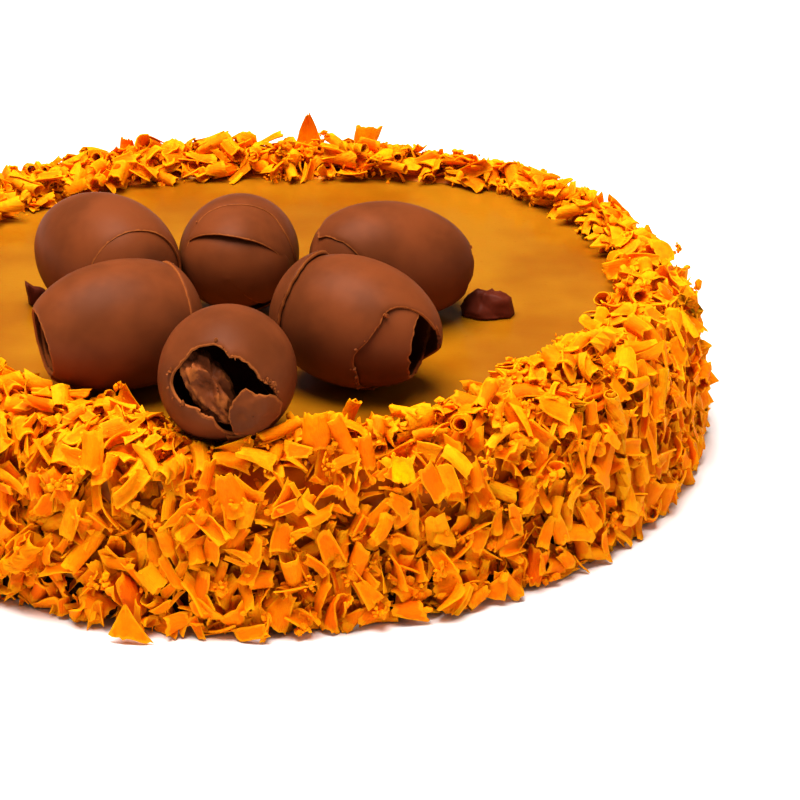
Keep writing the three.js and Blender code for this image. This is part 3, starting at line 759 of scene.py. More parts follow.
def glaze_material(colours):
    """Caramel glaze: deep amber under a wet, slightly uneven gloss, with a few specks."""
    material, tree, shader = new_material(
        "caramel_glaze", Roughness=0.35, Specular_IOR_Level=0.1, Coat_Weight=0.32,
        Coat_Roughness=0.14, Coat_IOR=1.4,
        Subsurface_Weight=0.25, Subsurface_Scale=0.004, Subsurface_Radius=(1.0, 0.4, 0.06))
    patches = effect(tree, "patches", Size=22.0, Low=0.36, High=0.68)
    tone = mix_colours(tree, patches.outputs["Mask"], colours.glaze, colours.glaze_deep)
    grain = effect(tree, "grain", Fine=700.0, Coarse=160.0)
    tone = washed(tree, grain.outputs["Specks"], 0.5, tone, colours.glaze_deep)
    tree.links.new(tone, shader.inputs["Base Color"])
    bump(tree, shader, grain.outputs["Height"], 0.12, 0.4)
    return material


def mousse_material(colours):
    """Pale mousse, stained by the caramel and wet."""
    material, tree, shader = new_material(
        "caramel_mousse", Roughness=0.45, Specular_IOR_Level=0.05, Coat_Weight=0.05,
        Coat_Roughness=0.2, Subsurface_Weight=0.15, Subsurface_Scale=0.003,
        Subsurface_Radius=(1.0, 0.5, 0.15))
    patches = effect(tree, "patches", Size=75.0, Low=0.55, High=0.68)
    tone = mix_colours(tree, patches.outputs["Mask"], scaled(0.62, colours.caramel), colours.mousse)
    tree.links.new(tone, shader.inputs["Base Color"])
    grain = effect(tree, "grain", Fine=900.0, Coarse=220.0)
    bump(tree, shader, grain.outputs["Height"], 0.3, 0.8)
    return material


def sponge_material(colours):
    """Dark sponge: open crumb with paler specks."""
    material, tree, shader = new_material("dark_sponge", Roughness=0.85, Specular_IOR_Level=0.3)
    grain = effect(tree, "grain", Fine=1500.0, Coarse=420.0)
    patches = effect(tree, "patches", Size=220.0, Low=0.45, High=0.65)
    tone = mix_colours(tree, patches.outputs["Mask"], colours.sponge, scaled(3.2, colours.sponge))
    tone = mix_colours(tree, grain.outputs["Specks"], tone, colours.caramel_deep)
    tree.links.new(tone, shader.inputs["Base Color"])
    bump(tree, shader, grain.outputs["Height"], 0.9, 0.9)
    return material


def floor_material(stage):
    """Plain pale floor with a barely uneven sheen."""
    material, tree, shader = new_material("pale_floor", Roughness=0.7, Specular_IOR_Level=0.2)
    patches = effect(tree, "patches", Size=8.0, Low=0.2, High=0.8)
    tone = mix_colours(tree, patches.outputs["Mask"], stage.floor, scaled(0.985, stage.floor))
    tree.links.new(tone, shader.inputs["Base Color"])
    return material


# ---- Round layers ----


def ring_piece(name, profile, step, columns, material, relief):
    """A layer turned round the cake, closed underneath and on top, pushed in and out by relief."""
    outline = resampled(profile, step)
    rows = len(outline)
    angle = np.arange(columns) * TURN / columns
    radius = wandered(outline[None, :, 0], angle[:, None])
    height = np.broadcast_to(outline[None, :, 1], radius.shape)
    points = round_the_cake(radius, angle[:, None], height).reshape(-1, 3)
    tangent = np.gradient(outline, axis=0)
    outward = unit(np.stack([tangent[:, 1], -tangent[:, 0]], -1))
    push = relief(points).reshape(columns, rows)
    radius = radius + outward[None, :, 0] * push
    height = np.maximum(height + outward[None, :, 1] * push, 0.02)
    points = round_the_cake(radius, angle[:, None], height).reshape(-1, 3)
    middles = [[0, 0, outline[0, 1]], [0, 0, outline[-1, 1]]]
    points = np.concatenate([points, middles])
    return mesh_piece(name, points, closed_faces(columns, rows), material)


def build_mousse(context):
    sizes = context.scene.cake_sizes
    relief = sizes.mousse_relief / MM

    def bumps(points):
        return relief * (fractal_noise(points, 9.0, 41) * 1.4 + 0.5 * fractal_noise(points, 2.5, 43))

    profile = [(112, SPONGE_TOP + FIT_GAP), *MOUSSE_PROFILE]
    piece = ring_piece("mousse", profile, 1.4, 300, mousse_material(context.scene.cake_colours), bumps)
    return dress(piece, "mousse", "cake_body")


def build_sponge(context):
    relief = context.scene.cake_sizes.sponge_relief / MM
    radius = SPONGE_BOX[1].x / MM - 0.4

    def crumb(points):
        side = smoothstep(np.hypot(points[:, 0], points[:, 1]), radius - 8, radius - 2)
        pores = np.abs(fractal_noise(points, 3.0, 51)) - 0.25
        return relief * side * (pores + 0.8 * fractal_noise(points, 6.0, 53) - 0.3)

    profile = [(radius - 8, 0.05), (radius - 0.8, 0.05), (radius, 1.2), (radius, SPONGE_TOP - 1),
               (radius - 1, SPONGE_TOP), (radius - 10, SPONGE_TOP)]
    material = sponge_material(context.scene.cake_colours)
    piece = ring_piece("sponge_base", profile, 0.9, 400, material, crumb)
    return dress(piece, "sponge", "sponge_foot")


def glaze_height(points, relief):
    """Height of the glaze over its flat level: slow waves, and lumps of set jelly before the curls."""
    slow = fractal_noise(points, 34.0, 61, 2) + 0.4 * fractal_noise(points, 11.0, 63, 2)
    height = relief * slow
    for x, y, reach, lump in GLAZE_LUMPS:
        away = np.hypot(points[:, 0] - x, (points[:, 1] - y) * 1.3) / reach
        height = height + lump * np.exp(-away ** 4) * (1 + 0.5 * fractal_noise(points, 3.5, 67, 2))
    return height


def build_glaze(context):
    relief = context.scene.cake_sizes.glaze_relief / MM
    columns = 220
    rings = 80
    angle = np.arange(columns) * TURN / columns
    share = np.linspace(1, 0.004, rings)
    radius = (glaze_edge(angle)[:, None] + 2.0) * share[None, :]
    points = round_the_cake(radius, angle[:, None], np.full(radius.shape, GLAZE_TOP)).reshape(-1, 3)
    points[:, 2] += glaze_height(points, relief)
    edge = points.reshape(columns, rings, 3)[:, :1].copy()
    edge[:, :, 2] = GLAZE_BOX[0].z / MM
    points = np.concatenate([edge, points.reshape(columns, rings, 3)], 1).reshape(-1, 3)
    rows = rings + 1
    middle_top = points[rows - 1::rows, 2].mean()
    points = np.concatenate([points, [[0, 0, GLAZE_BOX[0].z / MM], [0, 0, middle_top]]])
    piece = mesh_piece("caramel_mirror", points, closed_faces(columns, rows),
                       glaze_material(context.scene.cake_colours))
    return dress(piece, "glaze", "caramel_glaze")


# ---- Caramel shavings ----


class Heap:
    """The height of what already lies on the coat, over the angle round the cake and the way up
    its side and in over its rim, so that each new shaving comes to lie on the ones before it."""

    def __init__(self):
        inner = [(GLAZE_RADIUS - 2, GLAZE_TOP), (GLAZE_RADIUS - 8, GLAZE_TOP)]
        self.profile = resampled([*FOOT_LIP, *MOUSSE_PROFILE[1:-2], *inner], HEAP_CELL)
        tangent = np.gradient(self.profile, axis=0)
        self.normal = unit(np.stack([tangent[:, 1], -tangent[:, 0]], -1))
        self.columns = int(TURN * CAKE_RADIUS / HEAP_CELL)
        self.height = np.zeros((self.columns, len(self.profile)))
        self.curls = [(curl_frame(curl), curl) for curl in CURLS.values()]

    def columns_at(self, angle):
        return np.floor((angle % TURN) / TURN * self.columns).astype(int) % self.columns

    def cells(self, points):
        """The grid cell of each point, and its height over the bare surface."""
        angle = np.arctan2(points[:, 1], points[:, 0])
        radius = nominal(np.hypot(points[:, 0], points[:, 1]), angle)
        away = ((radius[:, None] - self.profile[None, :, 0]) ** 2
                + (points[:, None, 2] - self.profile[None, :, 1]) ** 2)
        row = away.argmin(1)
        above = ((radius - self.profile[row, 0]) * self.normal[row, 0]
                 + (points[:, 2] - self.profile[row, 1]) * self.normal[row, 1])
        return self.columns_at(angle), row, above

    def frame_at(self, angle, row):
        """A point of the bare surface, with its way up, its way round and its outward normal."""
        radius = float(wandered(self.profile[row, 0], angle))
        point = np.array([radius * math.cos(angle), radius * math.sin(angle), self.profile[row, 1]])
        out = np.array([math.cos(angle), math.sin(angle), 0.0])
        round_way = np.array([-math.sin(angle), math.cos(angle), 0.0])
        normal = out * self.normal[row, 0] + np.array([0, 0, 1.0]) * self.normal[row, 1]
        return point, np.cross(normal, round_way), round_way, normal

    def clear_of_curls(self, points):
        for (middle, along, across, up), curl in self.curls:
            part = points - middle
            station = part @ along / curl["half"]
            barrel = curl["radius"] * barrel_share(curl, station)
            reach = np.hypot(part @ across, part @ up)
            if ((barrel > 0) & (reach < barrel + 0.4)).any():
                return False
        return True

    def settle(self, points, normal, sink):
        """How far points must move along normal to lie on the heap. normal is not used."""
        column, row, above = self.cells(points)
        need = self.height[column, row] - above
        return np.percentile(need, HEAP_TOUCH) - sink

    def add(self, points):
        column, row, above = self.cells(points)
        np.maximum.at(self.height, (column, row), above)


def share_missing(angle, places):
    """The share of shavings that is missing at an angle, from places round the cake."""
    missing = 0.0
    for middle, width, share in places:
        away = half_widths_away(angle, middle, width)
        missing = max(missing, share * math.exp(-away ** 4))
    return missing


def open_place(heap, angle, row, draw):
    """Whether a shaving may lie here, since the coat is thinner in some places."""
    height = heap.profile[row, 1]
    if row > len(heap.profile) - INNER_ROWS:
        return draw.random() < INNER_SHARE
    if height < SPONGE_TOP:
        return draw.random() > share_missing(angle, BARE_FOOT)
    if height < GLAZE_TOP - 5:
        return draw.random() > share_missing(angle, THIN_COAT)
    return True


def strip_points(kind, count, draw):
    """Bent strips, one a row: their shells' points, map places, and how near an edge each point is.
    A strip's length is its own Z, and it bulges towards its X."""
    across, along = kind["cells"]
    u = np.linspace(0, 1, across + 1)[None, :, None]
    v = np.linspace(0, 1, along + 1)[None, None, :]

    def each(low, high):
        return draw.uniform(low, high, (count, 1, 1))

    bend = each(*kind["bend"])
    width = each(*kind["width"])
    length = each(*kind["length"])
    thickness = each(*kind["thickness"])
    sweep = width / bend
    taper = 1 + (kind["taper"] * each(-1, 1) - kind.get("narrow", 0)) * (2 * v - 1)
    skew = each(-0.25, 0.25) * (2 * v - 1)
    jag_side = kind["jag"] * draw.uniform(-0.5, 0.5, (count, 1, along + 1)) / bend
    side = (2 * u - 1) ** 5
    angle = sweep * ((u - 0.5) * taper + skew) + side * jag_side
    jag_low = kind["jag"] * draw.uniform(-1, 1, (count, across + 1, 1))
    jag_high = kind["jag"] * draw.uniform(-1, 1, (count, across + 1, 1))
    slant = kind["slant"] * length
    high_end = (each(-1, 1) * slant * (u - 0.5) + jag_high) * v ** 2
    low_end = (each(-1, 1) * slant * (u - 0.5) + jag_low) * (1 - v) ** 2
    z = length * (v - 0.5) + high_end + low_end
    radius = bend * (1 + kind["cone"] * each(-1, 1) * (v - 0.5))
    radius = radius + kind["growth"] * each(-0.6, 1) * (angle + sweep / 2)
    ripple = kind["ripple"] * np.sin(each(5, 9) * angle + each(0, TURN) + 1.5 * v)
    radius = radius + ripple
    bow = each(-0.12, 0.12) * length * (2 * v - 1) ** 2
    near_edge = np.maximum(np.abs(2 * u - 1), np.abs(2 * v - 1)) ** 6
    wall = thickness * (1 - 0.45 * near_edge) * (1 + 0.2 * draw.uniform(-1, 1, angle.shape))
    shells = []
    for reach in (radius, radius - wall):
        shells.append(np.stack([reach * np.cos(angle) - bend + bow, reach * np.sin(angle), z], -1))
    points = np.stack(shells, 1)
    points -= points.mean((1, 2, 3), keepdims=True)
    flat = np.stack([(u - 0.5) * width + 0 * v, z + 0 * u], -1)
    places = np.repeat(flat[:, None], 2, 1) + draw.uniform(0, 900, (count, 1, 1, 1, 2))
    edges = np.broadcast_to(near_edge[:, None], points.shape[:-1])
    per_piece = 2 * (across + 1) * (along + 1)
    return (points.reshape(count, per_piece, 3), places.reshape(count, per_piece, 2),
            edges.reshape(count, per_piece))


def shaving_axes(kind, frame_here, draw, on_side):
    """How a shaving lies: its own X, Y and Z as columns."""
    point, upward, round_way, normal = frame_here
    if on_side:
        turn = draw.normal(0, 50) * DEGREE
    else:
        turn = draw.uniform(-180, 180) * DEGREE
    lean = np.clip(draw.normal(0, kind["lean"]), -60, 60) * DEGREE
    along = unit(math.cos(turn) * upward + math.sin(turn) * round_way + math.tan(lean) * normal)
    face = unit(normal - (normal @ along) * along)
    spin = np.clip(draw.normal(0, kind["spin"]), -180, 180) * DEGREE
    if draw.random() < 0.3:
        spin += math.pi
    side = np.cross(along, face)
    turned_face = math.cos(spin) * face + math.sin(spin) * side
    return np.stack([turned_face, np.cross(along, turned_face), along], -1)


def lay_shavings(context):
    """Lays every kind of shaving on the heap in one mixed order. Gives each kind's points in place."""
    settings = context.scene.cake_shavings
    draw = np.random.default_rng(settings.seed)
    heap = Heap()
    sink = settings.sink / MM
    shapes = {}
    order = []
    for name, kind in SHAVING_KINDS.items():
        count = int(kind["count"] * settings.amount)
        shapes[name] = strip_points(kind, count, np.random.default_rng(kind["seed"]))
        order += [(name, k) for k in range(count)]
    order = [order[k] for k in draw.permutation(len(order))]
    placed = {name: {} for name in SHAVING_KINDS}
    rows = len(heap.profile)
    for name, k in order:
        local = shapes[name][0][k]
        best = None
        for attempt in range(HEAP_MOST_TRIES):
            angle = draw.uniform(-math.pi, math.pi)
            row = int(draw.integers(0, rows - 6))
            if not open_place(heap, angle, row, draw):
                continue
            here = heap.frame_at(angle, row)
            on_side = heap.normal[row, 0] > 0.6
            axes = shaving_axes(SHAVING_KINDS[name], here, draw, on_side)
            points = local @ axes.T + here[0]
            lift = heap.settle(points, here[3], sink)
            points = points + lift * here[3]
            low = points[:, 2].min()
            if low < FLOOR_GAP:
                points = points + np.array([0, 0, FLOOR_GAP - low])
            above = heap.cells(points)[2]
            on_rim = heap.normal[row, 1] > 0.5
            score = np.percentile(above, 80) + draw.uniform(0, 1.5) - RIM_HEAP * on_rim
            if best is None or score < best[0]:
                if heap.clear_of_curls(points):
                    best = (score, points)
            if attempt >= HEAP_TRIES and best is not None:
                break
        if best is None:
            continue
        placed[name][k] = best[1]
        heap.add(best[1])
    return heap, shapes, placed


def shavings_piece(name, cells, points, places, edges, tint, material):
    """One kind of shaving. points, map places, edge values and tints hold one shaving a row."""
    count, points_each = points.shape[:2]
    faces = many_faces(shell_faces(*cells), count, points_each)
    values = {"tint": np.repeat(tint, points_each), "edge": edges.ravel()}
    piece = mesh_piece(name, points.reshape(-1, 3), [faces], material, values,
                       places.reshape(-1, 2), crease=42)
    return dress(piece, "shavings", "cake_body")


def build_shavings(context):
    """One piece for each kind of shaving."""
    material = caramel_material(context.scene.cake_colours)
    heap, shapes, placed = lay_shavings(context)
    for name, kind in SHAVING_KINDS.items():
        chosen = sorted(placed[name])
        points = np.stack([placed[name][k] for k in chosen])
        places, edges = (part[chosen] for part in shapes[name][1:])
        tint = np.random.default_rng(kind["seed"] + 7).random(len(chosen))
        shavings_piece(name, kind["cells"], points, places, edges, tint, material)
    build_single_shavings(heap, material)
    build_crumbs(context, heap, material)


def build_single_shavings(heap, material):
    """The shavings that stand out, each lifted clear of the heap where it lies."""
    cells = (12, 5)
    shavings = []
    for number, values in enumerate(SINGLE_SHAVINGS.values()):
        middle, way, bulge, bend, width, extent, narrow, tint = values
        kind = {"cells": cells, "bend": (bend, bend), "width": (width, width),
                "length": (extent, extent), "thickness": (0.8, 0.8), "growth": 0.2, "cone": 0.1,
                "jag": 0.4, "slant": 0.15, "taper": 0.1, "ripple": 0.04, "narrow": narrow}
        local, places, edges = strip_points(kind, 1, np.random.default_rng(300 + number))
        along = unit(np.array(way, float))
        face = np.array(bulge, float)
        face = unit(face - (face @ along) * along)
        axes = np.stack([face, np.cross(along, face), along], -1)
        points = local[0] @ axes.T + np.array(middle)
        row = heap.cells(np.array([middle], float))[1][0]
        normal = heap.frame_at(math.atan2(middle[1], middle[0]), row)[3]
        points = points + max(heap.settle(points, normal, 0.6), 0) * normal
        points[:, 2] += max(FLOOR_GAP - points[:, 2].min(), 0)
        shavings.append((points, places[0], edges[0], tint))
    points, places, edges, tint = (np.stack(parts) for parts in zip(*shavings))
    return shavings_piece("single_shavings", cells, points, places, edges, tint, material)


def lump_shape():
    """Points and triangles of a round lump of twenty faces."""
    golden = (1 + 5 ** 0.5) / 2
    points = []
    for a, b in product((-1, 1), (-golden, golden)):
        points += [(0, a, b), (a, b, 0), (b, 0, a)]
    points = unit(np.array(points, float))
    edge = min(np.linalg.norm(points[0] - p) for p in points[1:]) * 1.05
    near = np.linalg.norm(points[:, None] - points[None], axis=-1) < edge
    faces = []
    for a in range(12):
        for b in range(a + 1, 12):
            for c in range(b + 1, 12):
                if near[a, b] and near[b, c] and near[a, c]:
                    outward = np.cross(points[b] - points[a], points[c] - points[a]) @ points[a]
                    faces.append((a, b, c) if outward > 0 else (a, c, b))
    return points, np.array(faces)


def lumps(count, sizes, stretch, draw):
    """Uneven little lumps, one a row."""
    base, faces = lump_shape()
    size = sizes[0] + (sizes[1] - sizes[0]) * draw.random((count, 1, 1)) ** 2.5
    bumps = draw.uniform(0.62, 1.2, (count, LUMP_POINTS, 1))
    shape = draw.uniform(1 - stretch, 1 + stretch, (count, 1, 3))
    return base[None] * bumps * shape * size / 2, faces


def crumb_places(heap, count, draw, depth):
    """Places on the heap, some of them down in its gaps."""
    angle = draw.uniform(-math.pi, math.pi, count)
    row = draw.integers(1, len(heap.profile) - 5, count)
    lying = heap.height[heap.columns_at(angle), row] * draw.uniform(depth, 1.0, count)
    radius = wandered(heap.profile[row, 0], angle) + heap.normal[row, 0] * lying
    height = heap.profile[row, 1] + heap.normal[row, 1] * lying
    return round_the_cake(radius, angle, height)


def build_crumbs(context, heap, material):
    """Loose caramel crumbs on the heap and round the foot, and rough clumps of them."""
    settings = context.scene.cake_shavings
    draw = np.random.default_rng(907)
    in_clump = 9
    loose, faces = lumps(settings.crumbs, (0.6, 2.6), 0.62, draw)
    clumped = lumps(settings.clumps * in_clump, (1.0, 2.8), 0.55, draw)[0]
    middles = crumb_places(heap, settings.crumbs, draw, 0.3)
    hearts = np.repeat(crumb_places(heap, settings.clumps, draw, 0.8), in_clump, axis=0)
    hearts = hearts + draw.normal(0, 0.95, hearts.shape)
    points = np.concatenate([loose + middles[:, None], clumped + hearts[:, None]])
    sunk = np.maximum(0.1 - points[:, :, 2].min(1), 0)
    points[:, :, 2] += sunk[:, None]
    count = len(points)
    tint = np.concatenate([draw.random(settings.crumbs),
                           np.repeat(0.3 + 0.6 * draw.random(settings.clumps), in_clump)])
    values = {"tint": np.repeat(tint, LUMP_POINTS), "edge": np.full(count * LUMP_POINTS, 0.6)}
    points = points.reshape(-1, 3)
    piece = mesh_piece("crumbs", points, [many_faces(faces, count, LUMP_POINTS)], material, values,
                       points[:, :2], crease=20)
    return dress(piece, "shavings", "cake_body")


# ---- Chocolate curls ----


def barrel(end, station):
    """Radius of a barrel at a station along it, over its middle's, where it narrows to end. One that
    closes is fuller."""
    fullness = np.where(np.asarray(end) < CLOSED_END, 2.8, 2.0)
    return np.sqrt(np.maximum(1 - (1 - np.square(end)) * np.abs(station) ** fullness, 0))


def barrel_share(curl, station):
    """Radius of the roll's first layer at a station along it, over its radius in the middle."""
    low, high = curl["layers"][0]["ends"]
    return barrel(np.where(station < 0, low, high), station)


def curl_frame(curl):
    """The roll's middle, and its ways along, across and up."""
    heading = curl["heading"] * DEGREE
    tilt = curl["tilt"] * DEGREE
    along = np.array([math.cos(heading) * math.cos(tilt), math.sin(heading) * math.cos(tilt),
                      math.sin(tilt)])
    across = np.array([-math.sin(heading), math.cos(heading), 0])
    up = np.cross(along, across)
    station = np.linspace(-1, 1, 81)
    drop = station * curl["half"] * along[2] - curl["radius"] * barrel_share(curl, station) * up[2]
    x, y = curl["place"]
    return np.array([x, y, GLAZE_TOP - drop.min()]), along, across, up


def edge_station(edge, angle):
    """The station that a layer's edge reaches at an angle round the roll."""
    station, slant, furthest = edge
    return station + slant * np.cos(angle - furthest * DEGREE)


def bitten(curl, angle):
    """How much is broken out of the first layer's high edge at an angle round the roll."""
    total = np.zeros(angle.shape)
    for middle, width, depth in curl["bites"]:
        total += depth * np.exp(-half_widths_away(angle, middle, width) ** 4)
    return total


def broken_edge(angle, turn, size, seed):
    """The roughness of a broken edge: slow waves with sharp little teeth."""
    ring = np.stack([np.cos(angle), np.sin(angle), turn], -1)
    teeth = np.abs(fractal_noise(ring * 16, 1.0, seed + 40, 2))
    return size * (fractal_noise(ring * 5, 1.0, seed) + 0.8 * teeth)


def rolled_sheet(curl, number, axes, wall):
    """One layer of a roll: its outer and inner grid, and how near an edge each point is. It goes
    once round and tucks under its own first edge."""
    middle, along, across, up = axes
    layer = curl["layers"][number]
    low_end, high_end = layer["ends"]
    turns = 1 + ROLL_OVERLAP
    turn = np.linspace(0, turns, int(turns * ROLL_STEPS) + 1)[:, None]
    angle = (curl["seam"] + 25 * number) * DEGREE + TURN * turn
    seed = curl["seed"] + 100 * number
    wall = wall * curl["wall"]
    low = edge_station(layer["from"], angle)
    high = edge_station(layer["to"], angle)
    if low_end > CLOSED_END:
        low = low + broken_edge(angle, turn, curl["jag"], seed + 5)
    if high_end > CLOSED_END:
        high = high + broken_edge(angle, turn, curl["jag"], seed)
    if number == 0:
        high = high - bitten(curl, angle)
    even = np.linspace(0, 1, ROLL_ROWS + 1)[None, :]
    width = 0.3 * even + 0.7 * (0.5 - 0.5 * np.cos(math.pi * even))
    station = low + (high - low) * width
    ends = np.where(station < 0, low_end, high_end)
    furthest = 1 / np.sqrt(1 - ends ** 2)
    station = np.clip(station, -furthest, furthest)
    girth = np.maximum(barrel(ends, station), POLE_GIRTH)
    depth = layer["depth"] - layer.get("oval", 0) * np.cos(2 * angle)
    depth = depth + 1.15 * wall * smoothstep(turn, 0.86, 1)
    radius = (curl["radius"] - depth) * girth * (1 + 0.012 * np.cos(2 * angle + curl["seed"]))
    outside = (middle + (station * curl["half"])[..., None] * along
               + (radius * np.cos(angle))[..., None] * across
               + (radius * np.sin(angle))[..., None] * up)
    normal = unit(np.cross(np.gradient(outside, axis=0), np.gradient(outside, axis=1)))
    push = 0.25 * fractal_noise(outside, 16.0, curl["seed"] + 2) * np.minimum(girth * 4, 1)
    outside = outside + normal * push[..., None]
    # near_edge also places the chocolate's painted highlight along the sheet's edges.
    reach = np.abs(2 * even - 1) ** 18 * smoothstep(girth, 0.1, 0.35)
    first = 1 - smoothstep(turn, 0, 0.012) + smoothstep(turn, turns - 0.012, turns)
    near_edge = np.clip(np.maximum(reach, first + 0 * even), 0, 1)
    thin = wall * (1 - 0.5 * near_edge)
    inside = outside - normal * ((wall + thin) / 2)[..., None]
    outside = outside - normal * ((wall - thin) / 2)[..., None]
    return outside, inside, near_edge


def sheet_piece(name, sheets, material, node):
    """A piece of bent chocolate from the outer and inner grid of each of its sheets."""
    points = []
    faces = []
    edges = []
    start = 0
    for outside, inside, near_edge in sheets:
        points += [outside.reshape(-1, 3), inside.reshape(-1, 3)]
        faces.append(start + shell_faces(outside.shape[0] - 1, outside.shape[1] - 1))
        edges.append(np.tile(near_edge.ravel(), 2))
        start += 2 * near_edge.size
    values = {"edge": np.concatenate(edges)}
    piece = mesh_piece(name, np.concatenate(points), faces, material, values)
    return dress(piece, "milk_chocolate", node)


def edge_crumbs(curl, outside, draw):
    """Where crumbs are stuck to the first layer's high edge."""
    places = []
    for middle, width, count in curl["crumbs"]:
        angle = (middle + width * draw.uniform(-1, 1, count)) - curl["seam"]
        column = np.round((angle % 360) / 360 * ROLL_STEPS).astype(int)
        row = draw.integers(-2, 0, count)
        places.append(outside[column, row] + draw.normal(0, 0.3, (count, 3)))
    return places


def build_crumpled_roll(material):
    """The crumpled roll that sits in the front curl's torn end: folds that run along it, with a painted
    highlight on their crests.
    """
    middle, along, across, up = curl_frame(CURLS["curl_front"])
    roll = CRUMPLED_ROLL
    x, y, z = roll["middle"]
    heart = middle + x * across + y * up + z * along
    a, b, c = roll["way"]
    way = unit(a * across + b * up + c * along)
    face = unit(along - (along @ way) * way)
    side = np.cross(way, face)
    columns = 90
    rows = 56
    angle = (np.arange(columns) * TURN / columns)[:, None]
    station = np.sin(np.linspace(-0.49, 0.49, rows) * math.pi)[None, :]
    girth = np.sqrt(1 - np.abs(station) ** 2.4)
    out = np.stack([girth * np.cos(angle), girth * np.sin(angle) * roll["flat"], station + 0 * angle], -1)
    local = out * np.array([roll["radius"], roll["radius"], roll["half"]])
    across_size, along_size = roll["fold_size"]
    warp = fractal_noise(local, 6.0, roll["seed"])[..., None]
    stretched = (local + 1.6 * warp) / np.array([across_size, across_size, along_size])
    fold = 1 - 4.5 * np.abs(fractal_noise(stretched, 1.0, roll["seed"] + 1, 3))
    fold = np.maximum(fold, -1)
    rough = fractal_noise(local, 1.8, roll["seed"] + 3)
    local = local + out * (roll["fold"] * (fold - 0.3) + 0.6 * rough)[..., None]
    points = (heart + local[..., 0:1] * face + local[..., 1:2] * side + local[..., 2:3] * way)
    ends = [points[:, 0].mean(0), points[:, -1].mean(0)]
    points = np.concatenate([points.reshape(-1, 3), ends])
    # Painted highlight: the edge value, and so the pale chocolate colour, rises on the outward folds and
    # bumps.
    crest_highlight = np.concatenate([np.clip(0.45 + 0.35 * fold + 0.5 * rough, 0, 1).ravel(), [0, 0]])
    piece = mesh_piece("crumpled_roll", points, closed_faces(columns, rows), material,
                       {"edge": crest_highlight}, crease=None)
    return dress(piece, "milk_chocolate", "curl_front")


def build_torn_flap(wall, material):
    """The flap that is broken out of the front curl's torn end and leans before it."""
    middle, along, across, up = curl_frame(CURLS["curl_front"])
    flap = TORN_FLAP
    x, y = flap["middle"]
    corners = np.array(flap["corners"]) - np.array([x, y])
    ways = np.arctan2(corners[:, 1], corners[:, 0]) % TURN
    order = ways.argsort()
    angle = np.linspace(TURN, 0, 73)[:, None]
    reach = np.interp(angle, ways[order], np.hypot(*corners.T)[order], period=TURN)
    share = np.linspace(0.02, 1, 16)[None, :]
    ring = np.stack([np.cos(angle), np.sin(angle), 0 * angle], -1)
    reach = reach * (1 + 0.06 * fractal_noise(ring * 7, 1.0, flap["seed"]) * share ** 2)
    flat_x = x + reach * share * np.cos(angle)
    flat_y = y + reach * share * np.sin(angle)
    out = np.hypot(flat_x, flat_y)
    egg = EGG_LENGTH * np.sqrt(np.maximum(1 - (out / CURLS["curl_front"]["radius"]) ** 2, 0.03))
    front = egg * (0.84 + 0.16 * smoothstep(out, 5, 13)) + 0.9 + 1.2 * (1 - share ** 2)
    outside = (middle + flat_x[..., None] * across + flat_y[..., None] * up
               + front[..., None] * along)
    crease = 0.5 - np.abs(lattice_noise(outside / 4.5, flap["seed"]))
    rough = fractal_noise(outside, 2.0, flap["seed"] + 2)
    outside = outside + along * (flap["relief"] * (crease + 0.35 * rough))[..., None]
    # The rim and the raised creases get a high edge value: the chocolate's painted highlight.
    near_edge = np.clip(share ** 12 + 0.35 * crease + 0 * angle, 0, 1)
    thick = wall * (1 - 0.4 * share ** 12) + 0 * angle
    inside = outside - along * thick[..., None]
    return sheet_piece("torn_flap", [(outside, inside, near_edge)], material, "curl_front")


def build_curls(context):
    """Six rolled sheets of chocolate, what lies in the front one, and the crumbs on their edges."""
    colours = context.scene.cake_colours
    material = chocolate_material("milk_chocolate", colours.chocolate, colours.chocolate_edge_highlight)
    wall = context.scene.cake_sizes.curl_wall / MM
    draw = np.random.default_rng(77)
    places = []
    for name, curl in CURLS.items():
        axes = curl_frame(curl)
        sheets = [rolled_sheet(curl, number, axes, wall) for number in range(len(curl["layers"]))]
        places += edge_crumbs(curl, sheets[0][0], draw)
        sheet_piece(name + "_roll", sheets, material, name)
    build_crumpled_roll(material)
    build_torn_flap(wall, material)
    places = np.concatenate(places)
    count = len(places)
    points, faces = lumps(count, (0.5, 1.5), 0.4, draw)
    points = (points + places[:, None]).reshape(-1, 3)
    # A high edge value: the chocolate's painted highlight covers much of each crumb.
    values = {"edge": np.full(count * LUMP_POINTS, 0.75)}
    piece = mesh_piece("chocolate_crumbs", points, [many_faces(faces, count, LUMP_POINTS)],
                       material, values)
    dress(piece, "milk_chocolate", "curl_front")


# ---- Bits of dark chocolate ----


def refined_lump(node, seed, steps=3):
    """A solid's own shape, cut finer and broken up by noise."""
    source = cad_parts[node]
    mesh = source.data.copy()
    work = bmesh.new()
    work.from_mesh(mesh)
    bmesh.ops.remove_doubles(work, verts=work.verts, dist=1e-6)
    bmesh.ops.triangulate(work, faces=work.faces)
    bmesh.ops.subdivide_edges(work, edges=work.edges, cuts=steps, use_grid_fill=True)
    points = np.array([v.co for v in work.verts]) / MM
    middle = points.mean(0)
    outward = unit(points - middle)
    push = 0.8 * fractal_noise(points, 3.4, seed) + 0.2 * fractal_noise(points, 0.9, seed + 1)
    moved = points + outward * push[:, None]
    moved[:, 2] = np.maximum(moved[:, 2], GLAZE_TOP + 0.02)
    faces = np.array([[v.index for v in face.verts] for face in work.faces])
    work.free()
    return moved, faces


def build_bits(context):
    """The chunk and the splinter."""
    colours = context.scene.cake_colours
    # The milk chocolate colour is the painted highlight here. Its low edge value shows it only in a few
    # specks.
    material = chocolate_material("dark_chocolate", colours.dark_chocolate, colours.chocolate)
    for name, seed in (("chocolate_chunk", 71), ("chocolate_splinter", 73)):
        points, faces = refined_lump(name, seed)
        values = {"edge": np.full(len(points), 0.2)}
        piece = mesh_piece(name + "_bit", points, [faces], material, values, crease=None)
        dress(piece, "dark_chocolate", name)


# ---- Stage ----

